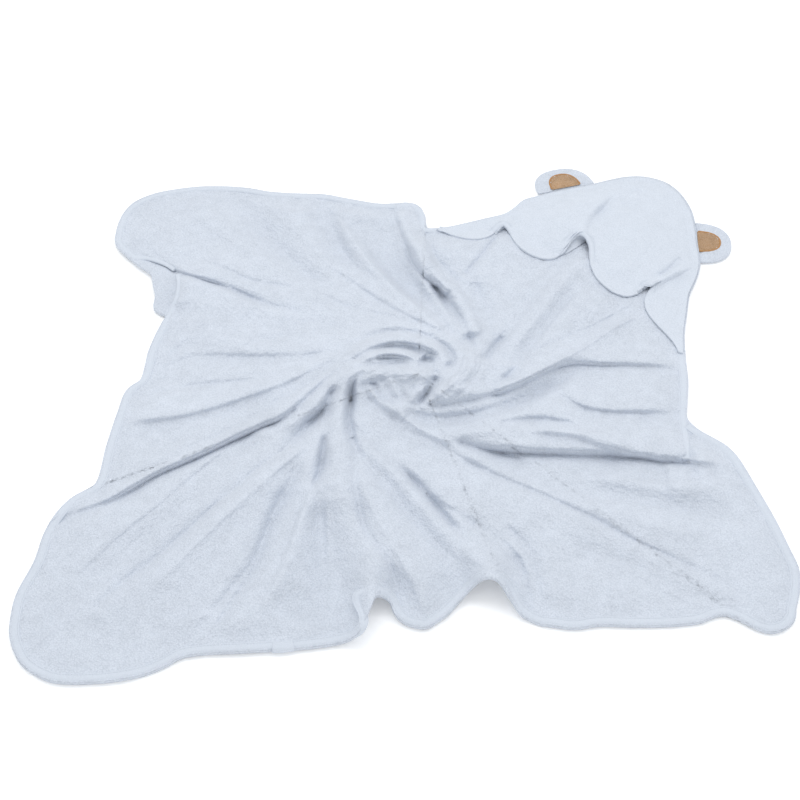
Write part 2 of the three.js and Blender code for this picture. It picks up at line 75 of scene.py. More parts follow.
# ------------------------------------------------------------------ folds
# (weight at the two ends), (width left, width right, width of the groove) in mm, (swell left, swell right, depth of groove), points
# A swell of 1 on a width of 40 mm stands up SWELL mm, and so on in proportion to the width; a groove likewise.
FOLDS = [
    ((0.35, 0), (34, 22, 4.5), (-0.4, 1.5, 12.0), [(-64, 318), (-49, 297), (-39, 270), (-25, 245), (-11, 223), (0, 200), (18, 177), (37, 156), (49, 133), (63, 111), (79, 88), (81, 59), (70, 36), (56, 15), (36, -6)]),
    ((0, 0.7), (22, 50, 4.5), (-7.0, -0.4, -2.0), [(-88, 355), (-68, 315), (-51, 275), (-28, 232), (-4, 195), (24, 161), (48, 125)]),
    ((0.7, 0.7), (14, 34, 13), (-2.2, -0.4, 7.6), [(-10, 349), (-17, 309), (-9, 266), (5, 227), (22, 184), (40, 147)]),
    ((1.4, 0), (14, 22, 4.5), (2.1, -3.9, -2.0), [(-8, 377), (-1, 342), (8, 308), (17, 275), (31, 242), (47, 215), (62, 185), (75, 153), (85, 120)]),
    ((0, 1.4), (22, 14, 3.2), (3.7, 3.0, 3.8), [(3, 330), (6, 301), (9, 276), (15, 247), (28, 225), (45, 202), (58, 176), (70, 153), (79, 126), (87, 101), (93, 73), (89, 47), (74, 23)]),
    ((0, 1.4), (50, 50, 13), (1.3, 1.1, 7.6), [(43, 210), (46, 201), (50, 194), (54, 187), (59, 179)]),
    ((0, 0.35), (50, 22, 6.5), (-5.0, 3.1, -2.0), [(26, 264), (34, 223), (47, 183), (62, 148), (74, 108)]),
    ((1.4, 1), (50, 34, 4.5), (2.1, 6.6, 11.0), [(33, 316), (37, 287), (43, 258), (52, 233), (66, 206)]),
    ((0.35, 0.35), (50, 14, 3.2), (0.6, 1.7, 7.3), [(-102, 254), (-84, 233), (-64, 212), (-44, 193), (-24, 173), (-5, 157), (18, 140), (41, 125), (62, 106)]),
    ((0.7, 0.35), (22, 50, 4.5), (1.2, 1.0, 2.3), [(-108, 196), (-84, 177), (-55, 159), (-26, 149), (5, 137), (31, 123)]),
    ((0.7, 0.7), (22, 50, 13), (-3.8, 2.9, 7.0), [(-250, 420), (-232, 390), (-214, 361), (-196, 331), (-178, 301), (-161, 276), (-141, 248), (-120, 221), (-97, 197)]),
    ((1.4, 0.35), (50, 50, 13), (1.1, 1.3, 11.4), [(-111, 401), (-104, 370), (-97, 339), (-87, 305), (-75, 276), (-61, 248), (-42, 224)]),
    ((1.4, 0), (22, 22, 13), (1.4, 0.2, -2.0), [(-170, 398), (-152, 348), (-128, 301), (-106, 260), (-74, 219)]),
    ((1.4, 0), (34, 50, 4.5), (0.3, -1.0, 0.4), [(-295, 377), (-254, 326), (-209, 280), (-167, 241), (-117, 199)]),
    ((0, 1.4), (50, 50, 13), (-1.2, -0.6, 2.2), [(-265, 395), (-264, 388), (-263, 380), (-262, 372), (-260, 365)]),
    ((1, 0), (50, 50, 13), (-0.4, -0.5, 1.9), [(-299, 388), (-292, 381), (-286, 375), (-279, 370), (-273, 363)]),
    ((0, 1.4), (50, 50, 13), (0.8, -1.1, -2.0), [(-180, 391), (-180, 384), (-179, 376), (-178, 370), (-177, 363)]),
    ((1.4, 1.4), (34, 34, 6.5), (2.2, 0.8, 3.2), [(-134, 390), (-136, 382), (-139, 374), (-140, 366), (-141, 358)]),
    ((0, 1.4), (50, 34, 13), (3.2, 3.4, -2.0), [(-52, 386), (-56, 378), (-59, 372), (-61, 365), (-64, 357)]),
    ((1.4, 0), (50, 50, 4.5), (-0.6, 3.6, 3.6), [(-359, 264), (-331, 256), (-307, 247), (-282, 230), (-255, 218), (-228, 205), (-206, 190), (-181, 174), (-153, 162), (-128, 154), (-100, 144)]),
    ((1, 0), (50, 50, 4.5), (0.9, 2.0, 2.7), [(-213, 201), (-202, 193), (-190, 185), (-180, 179), (-168, 172)]),
    ((1.4, 1.4), (50, 22, 13), (-1.7, -2.2, 1.7), [(-333, 269), (-317, 259), (-300, 251), (-286, 241), (-270, 234)]),
    ((1, 1.4), (50, 50, 6.5), (1.3, 1.3, 3.4), [(-247, 250), (-219, 235), (-194, 217), (-170, 209), (-140, 201)]),
    ((1.4, 0.7), (50, 50, 3.2), (0.4, 2.7, 5.5), [(-287, 140), (-285, 163), (-281, 186), (-281, 206), (-285, 229)]),
    ((0.7, 0), (14, 22, 13), (2.7, -1.8, 4.2), [(-298, 46), (-274, 63), (-247, 77), (-221, 77), (-192, 76), (-163, 75), (-134, 76), (-108, 78), (-79, 85), (-54, 101)]),
    ((1.4, 0.35), (50, 22, 6.5), (-0.2, 3.3, 6.6), [(-322, 6), (-292, 9), (-264, 17), (-232, 23), (-204, 27), (-175, 30), (-146, 32)]),
    ((1.4, 1), (50, 50, 13), (1.4, -2.2, 1.3), [(-287, 37), (-284, 54), (-280, 71), (-274, 86), (-264, 100)]),
    ((1.4, 0), (22, 50, 6.5), (1.4, 0.8, 4.4), [(-184, 94), (-163, 103), (-141, 109), (-124, 124), (-108, 137), (-89, 131), (-69, 121), (-49, 111)]),
    ((1, 0.7), (34, 34, 13), (5.1, -2.6, -2.0), [(-301, -37), (-240, -24), (-183, 1), (-133, 28), (-84, 66)]),
    ((0.7, 0.35), (34, 22, 9), (-1.5, 1.2, -2.0), [(-268, 130), (-217, 113), (-168, 94), (-120, 92), (-67, 104)]),
    ((1.4, 0.35), (34, 50, 4.5), (-0.8, 2.0, 8.3), [(-350, -148), (-328, -141), (-304, -128), (-284, -115), (-264, -100), (-245, -86), (-227, -73), (-205, -58), (-187, -44), (-167, -27), (-149, -11), (-132, 7), (-114, 21), (-96, 37), (-79, 57), (-66, 76), (-51, 96), (-32, 108)]),
    ((1.4, 0.7), (22, 34, 4.5), (1.6, 3.3, 13.3), [(-381, -196), (-364, -184), (-343, -172), (-324, -163), (-305, -150), (-286, -135), (-270, -121), (-252, -109), (-232, -97), (-214, -85), (-194, -70), (-177, -58), (-159, -46), (-138, -34), (-124, -17), (-111, 0), (-97, 20), (-84, 37), (-70, 53), (-52, 69), (-32, 77)]),
    ((0, 1.4), (22, 14, 3.2), (2.9, 1.3, 7.4), [(-299, -141), (-267, -116), (-228, -91), (-194, -68), (-156, -42), (-124, -17)]),
    ((1.4, 0), (50, 9, 9), (-1.5, 1.6, -2.0), [(-331, -184), (-285, -145), (-237, -110), (-194, -77), (-145, -42)]),
    ((1.4, 1), (50, 50, 4.5), (-2.4, -2.0, 10.7), [(-382, -364), (-359, -338), (-341, -313), (-321, -285), (-304, -260), (-284, -232), (-262, -205), (-243, -181), (-223, -153), (-207, -128), (-187, -99), (-170, -74), (-153, -45)]),
    ((0.7, 0.7), (22, 34, 4.5), (4.6, 8.0, 5.0), [(-312, -300), (-290, -271), (-265, -244), (-242, -216), (-220, -187), (-201, -161), (-177, -133), (-156, -104), (-130, -78)]),
    ((0, 1.4), (50, 14, 13), (1.9, 0.3, -2.0), [(-354, -289), (-312, -224), (-264, -164), (-222, -110), (-170, -52)]),
    ((0, 1.4), (50, 50, 13), (-0.3, -1.8, -2.0), [(-269, -295), (-231, -238), (-192, -182), (-155, -133), (-112, -80)]),
    ((1.4, 0.7), (50, 50, 4.5), (-0.9, 1.7, 6.8), [(-247, -384), (-226, -354), (-206, -329), (-188, -297), (-170, -265), (-153, -233), (-144, -202), (-133, -167), (-121, -132), (-111, -101), (-99, -67)]),
    ((1.4, 0.35), (50, 50, 2.2), (-3.1, -2.0, 1.2), [(-261, -373), (-249, -357), (-237, -337), (-224, -321), (-204, -312), (-184, -307)]),
    ((0.7, 0), (50, 50, 13), (3.3, 3.0, 3.5), [(-191, -335), (-173, -294), (-153, -249), (-144, -205), (-134, -157), (-119, -115)]),
    ((0, 0), (22, 50, 9), (-1.4, 5.7, -1.9), [(-148, -311), (-130, -256), (-116, -200), (-105, -149), (-95, -92)]),
    ((0.7, 0.7), (22, 50, 6.5), (2.4, -1.0, 12.6), [(-111, -47), (-102, -33), (-91, -18), (-84, -3), (-77, 14), (-70, 29)]),
    ((0, 1.4), (50, 34, 6.5), (2.2, -1.0, 13.5), [(-130, -85), (-121, -65), (-110, -46), (-98, -31), (-88, -11)]),
    ((0.35, 0), (22, 22, 3.2), (4.1, 0.5, 20.0), [(-45, -92), (-51, -72), (-55, -52), (-58, -32), (-57, -12), (-57, 8), (-56, 28), (-46, 46)]),
    ((1, 0), (50, 50, 6.5), (2.5, 2.5, 14.0), [(-97, -142), (-91, -118), (-87, -94), (-86, -72), (-84, -48)]),
    ((1, 1.4), (9, 50, 9), (1.0, 0.8, -2.0), [(-64, -191), (-63, -152), (-66, -113), (-70, -74), (-72, -35), (-73, 4), (-66, 43), (-39, 77)]),
    ((0, 0.7), (34, 34, 3.2), (-1.0, 1.9, 3.4), [(-110, -121), (-100, -90), (-95, -59), (-92, -22), (-82, 4), (-68, 32), (-50, 56)]),
    ((1.4, 0.7), (50, 50, 13), (-4.2, -1.6, 12.7), [(-72, -311), (-71, -280), (-75, -246), (-77, -214), (-79, -179), (-82, -148)]),
    ((0, 0.7), (34, 50, 4.5), (2.2, 1.9, 5.8), [(5, -317), (0, -290), (-5, -263), (-13, -239), (-27, -214), (-38, -190), (-44, -164), (-48, -139), (-51, -112), (-50, -84)]),
    ((0, 0), (50, 22, 6.5), (3.2, -1.2, 6.6), [(71, -259), (55, -238), (39, -219), (26, -200), (11, -180), (-3, -158), (-16, -137), (-29, -118), (-42, -96), (-53, -72)]),
    ((1.4, 0), (34, 34, 6.5), (-2.1, -0.1, -1.2), [(23, -300), (10, -261), (-8, -220), (-25, -182), (-42, -139), (-56, -101)]),
    ((1.4, 1.4), (14, 22, 2.2), (1.5, -3.4, -1.9), [(88, -247), (68, -217), (48, -188), (27, -154), (6, -124), (-15, -95), (-35, -65)]),
    ((0.35, 0.7), (34, 50, 6.5), (-0.6, 1.5, 6.4), [(72, -213), (60, -192), (46, -171), (35, -153), (22, -132), (7, -112), (-11, -96), (-25, -79), (-40, -60), (-53, -40)]),
    ((0, 1), (9, 50, 2.2), (0.5, 2.4, 7.7), [(66, -208), (51, -182), (36, -156), (21, -134), (2, -110)]),
    ((0, 1.4), (34, 50, 13), (-0.3, 1.3, 4.7), [(132, -322), (128, -299), (126, -276), (125, -255), (120, -233), (108, -212), (91, -196), (75, -183), (56, -169), (39, -154)]),
    ((1.4, 0), (9, 50, 3.2), (-0.1, -0.9, 5.3), [(131, -318), (128, -294), (126, -270), (123, -248), (113, -226)]),
    ((1.4, 1.4), (22, 50, 4.5), (-0.4, -0.3, 3.2), [(123, -330), (125, -293), (125, -256), (113, -223), (85, -196)]),
    ((0, 1.4), (9, 50, 4.5), (0.2, 1.2, 4.5), [(144, -312), (142, -289), (141, -262), (138, -239), (131, -214), (118, -194)]),
    ((1.4, 1.4), (34, 50, 4.5), (-0.8, -0.8, -2.0), [(141, -312), (138, -285), (134, -258), (128, -235), (114, -212)]),
    ((1.4, 0), (50, 50, 4.5), (0.4, -2.1, 5.0), [(372, -322), (359, -299), (341, -275), (320, -259), (295, -243), (272, -229), (250, -215), (226, -196), (205, -180), (179, -165), (157, -151), (130, -137), (107, -124), (85, -109), (61, -90), (41, -72), (18, -55), (-4, -38)]),
    ((0, 1), (50, 34, 9), (1.1, 2.0, -0.8), [(368, -311), (345, -276), (312, -251), (281, -230), (246, -208), (213, -182), (178, -160), (146, -141), (110, -120), (76, -97)]),
    ((0, 1.4), (50, 22, 13), (-0.8, 0.4, -2.0), [(115, -101), (85, -85), (55, -68), (29, -53), (0, -33)]),
    ((1.4, 0), (50, 50, 9), (-1.0, -2.0, 4.9), [(306, -298), (280, -281), (252, -260), (224, -243), (192, -229), (162, -220)]),
    ((0, 0.7), (50, 50, 4.5), (2.0, -0.6, 1.4), [(391, -194), (339, -178), (279, -164), (226, -152), (166, -136), (117, -108)]),
    ((0, 0.7), (50, 34, 4.5), (1.6, -3.6, -1.1), [(364, -130), (320, -128), (279, -129), (241, -121), (199, -120)]),
    ((0, 0.7), (50, 50, 9), (2.2, -0.1, -1.6), [(331, -208), (295, -192), (259, -176), (226, -163), (189, -148)]),
    ((0, 0.7), (34, 50, 9), (-2.3, 1.1, 8.2), [(348, -101), (318, -97), (292, -96), (263, -89), (233, -86), (203, -85), (176, -84), (146, -81), (116, -78), (91, -74), (63, -64)]),
    ((1.4, 1.4), (50, 9, 9), (1.8, -0.1, 3.9), [(318, -101), (283, -95), (247, -90), (212, -88), (176, -86), (140, -84), (104, -80), (70, -69)]),
    ((1.4, 0), (50, 14, 9), (4.7, -0.7, 5.6), [(330, -90), (320, -92), (311, -93), (302, -94), (292, -94)]),
    ((1, 1.4), (34, 50, 6.5), (2.2, -0.3, 3.1), [(100, -74), (111, -79), (121, -84), (131, -89), (141, -95)]),
    ((0, 1.4), (9, 22, 6.5), (-0.9, 3.2, 12.3), [(335, -14), (335, -36), (333, -57), (330, -77), (327, -98)]),
    ((0, 1.4), (50, 50, 6.5), (1.7, -1.8, 6.1), [(146, -52), (172, -54), (198, -58), (219, -69), (243, -77)]),
    ((0, 0), (22, 50, 6.5), (-1.4, 3.1, 2.1), [(214, -41), (188, -34), (158, -30), (132, -34), (103, -41), (77, -48)]),
    ((1.4, 1.4), (50, 14, 13), (1.6, -0.9, 0.8), [(250, -53), (200, -49), (151, -42), (105, -43), (55, -49)]),
    ((0.35, 0.7), (14, 50, 6.5), (-0.8, 3.3, 2.5), [(343, -20), (312, -22), (277, -21), (246, -20), (214, -12), (191, 7)]),
    ((0.7, 0), (34, 22, 9), (1.4, -1.2, 6.8), [(328, -28), (312, -34), (297, -36), (284, -35), (268, -30)]),
    ((0, 0), (34, 22, 4.5), (4.5, -2.6, 5.3), [(215, 53), (191, 31), (167, 10), (138, -10), (109, -25), (79, -36), (48, -44)]),
    ((0, 0), (50, 50, 6.5), (1.6, 1.8, 5.3), [(209, 47), (183, 30), (158, 11), (130, -5), (101, -17), (72, -25), (42, -27), (15, -17)]),
    ((0.35, 0.7), (50, 34, 4.5), (2.6, 1.7, 5.8), [(16, -4), (42, -8), (65, -4), (91, 4), (114, 10), (138, 21), (157, 35), (179, 50), (200, 59), (226, 60), (250, 58), (276, 57), (299, 55), (326, 51)]),
    ((0.35, 1.4), (50, 14, 6.5), (1.0, 1.3, 8.8), [(225, 272), (209, 247), (193, 221), (176, 196), (161, 169), (149, 145), (135, 119), (116, 95), (103, 68)]),
    ((1.4, 1.4), (34, 14, 3.2), (1.6, -0.4, 1.3), [(104, 60), (107, 75), (112, 90), (118, 102), (125, 116)]),
    ((0, 0.7), (50, 50, 4.5), (3.6, -0.2, 2.3), [(231, 210), (214, 182), (194, 151), (176, 122), (157, 91), (143, 62)]),
    ((1.4, 1), (22, 34, 9), (1.2, -2.3, -1.2), [(224, 251), (205, 216), (184, 176), (165, 141), (144, 102), (128, 65)]),
    ((1.4, 0), (50, 50, 4.5), (-0.3, -1.0, 4.6), [(297, 163), (271, 150), (248, 130), (226, 109), (200, 93), (176, 81), (151, 64), (130, 42), (110, 20)]),
    ((0, 1.4), (34, 50, 4.5), (0.7, 2.4, 3.2), [(140, 59), (135, 52), (130, 44), (125, 38), (120, 31)]),
    ((0, 0.35), (34, 50, 4.5), (2.7, 1.7, -0.1), [(296, 176), (278, 157), (256, 142), (236, 128), (215, 116), (197, 103), (174, 91), (154, 76), (138, 58)]),
    ((1.4, 1.4), (50, 50, 9), (-2.2, -3.4, -2.0), [(284, 142), (252, 117), (219, 88), (186, 64), (149, 39), (113, 19)]),
    ((1.4, 0), (50, 50, 13), (0.2, -0.9, 2.0), [(354, 60), (340, 51), (325, 44), (312, 41), (296, 39)]),
    ((0, 1), (50, 50, 6.5), (2.6, 2.4, 6.4), [(133, 314), (120, 292), (108, 269), (96, 249), (84, 226)]),
    ((0.7, 0.7), (34, 50, 6.5), (1.3, 0.2, 3.8), [(93, 216), (98, 185), (103, 154), (107, 126), (101, 97)]),
    ((0, 1.4), (14, 9, 13), (-1.8, 1.1, -2.0), [(78, 208), (85, 177), (92, 146), (98, 111), (96, 81), (85, 54), (66, 30)]),
    ((1.4, 1.4), (50, 9, 6.5), (0.2, 0.4, -2.0), [(82, 96), (82, 71), (76, 48), (64, 29), (47, 12)]),
    ((1.4, 0), (50, 50, 6.5), (0.5, 1.7, -2.0), [(-71, 58), (-54, 70), (-36, 79), (-15, 85), (3, 83), (20, 76), (38, 67)]),
    ((0, 1.4), (50, 50, 13), (0.8, -0.7, -2.0), [(-73, 53), (-57, 63), (-41, 73), (-24, 78), (-4, 79)]),
    ((1.4, 1.4), (14, 50, 4.5), (1.0, 1.1, 1.3), [(-52, 53), (-36, 59), (-17, 60), (-2, 61), (15, 55)]),
    ((1.4, 0), (34, 22, 3.2), (1.4, 1.2, 1.1), [(-48, 100), (-31, 113), (-11, 120), (11, 120), (31, 113), (47, 102), (62, 86), (67, 62), (56, 43)]),
    ((1.4, 0), (50, 50, 6.5), (-0.7, 0.2, -2.0), [(-57, 81), (-38, 99), (-9, 109), (18, 107), (45, 93), (61, 70)]),
    ((1, 1.4), (34, 9, 6.5), (-0.5, 0.3, -2.0), [(-51, 72), (-33, 80), (-13, 82), (4, 77), (19, 67)]),
    ((0, 1), (34, 50, 6.5), (0.9, 0.3, 2.6), [(51, 107), (58, 93), (63, 78), (62, 63), (52, 52)]),
    ((0, 0.35), (50, 50, 9), (-0.5, 0.6, 6.3), [(24, 72), (28, 69), (33, 67), (37, 67), (42, 67)]),
    ((1, 1.4), (50, 22, 4.5), (0.5, 1.3, 11.5), [(46, 44), (39, 30), (34, 16), (28, 4), (19, -8)]),
    ((0, 0.35), (50, 50, 4.5), (-0.1, -1.7, 4.6), [(-36, 40), (-28, 29), (-22, 17), (-18, 6), (-9, -1)]),
    ((0, 0), (50, 50, 4.5), (0.2, -0.3, 4.7), [(-35, 40), (-28, 27), (-22, 14), (-15, 2), (0, -7)]),
    ((1, 1.4), (9, 34, 13), (0.3, -1.0, -2.0), [(-44, 46), (-41, 29), (-37, 13), (-29, -1), (-18, -13), (-5, -24), (8, -34), (22, -45)]),
    ((1.4, 0), (34, 50, 13), (0.0, 0.9, 4.3), [(-16, 44), (-12, 31), (-8, 18), (-5, 7), (-6, -4)]),
    ((1.4, 0), (22, 34, 3.2), (-0.9, 1.3, -1.8), [(24, 69), (29, 61), (34, 53), (36, 45), (35, 36)]),
    ((0.7, 0), (50, 50, 3.2), (0.4, -1.3, 3.7), [(-28, 32), (-22, 14), (-13, -1), (-2, -10), (15, -12)]),
    ((1.4, 0), (22, 50, 6.5), (-0.5, -1.2, -1.5), [(7, 34), (17, 40), (28, 38), (34, 29), (33, 15)]),
    ((0.7, 1.4), (50, 22, 3.2), (1.0, -1.8, -0.7), [(0, 26), (17, 14), (37, 25), (38, 48), (18, 61), (-1, 54)]),
]
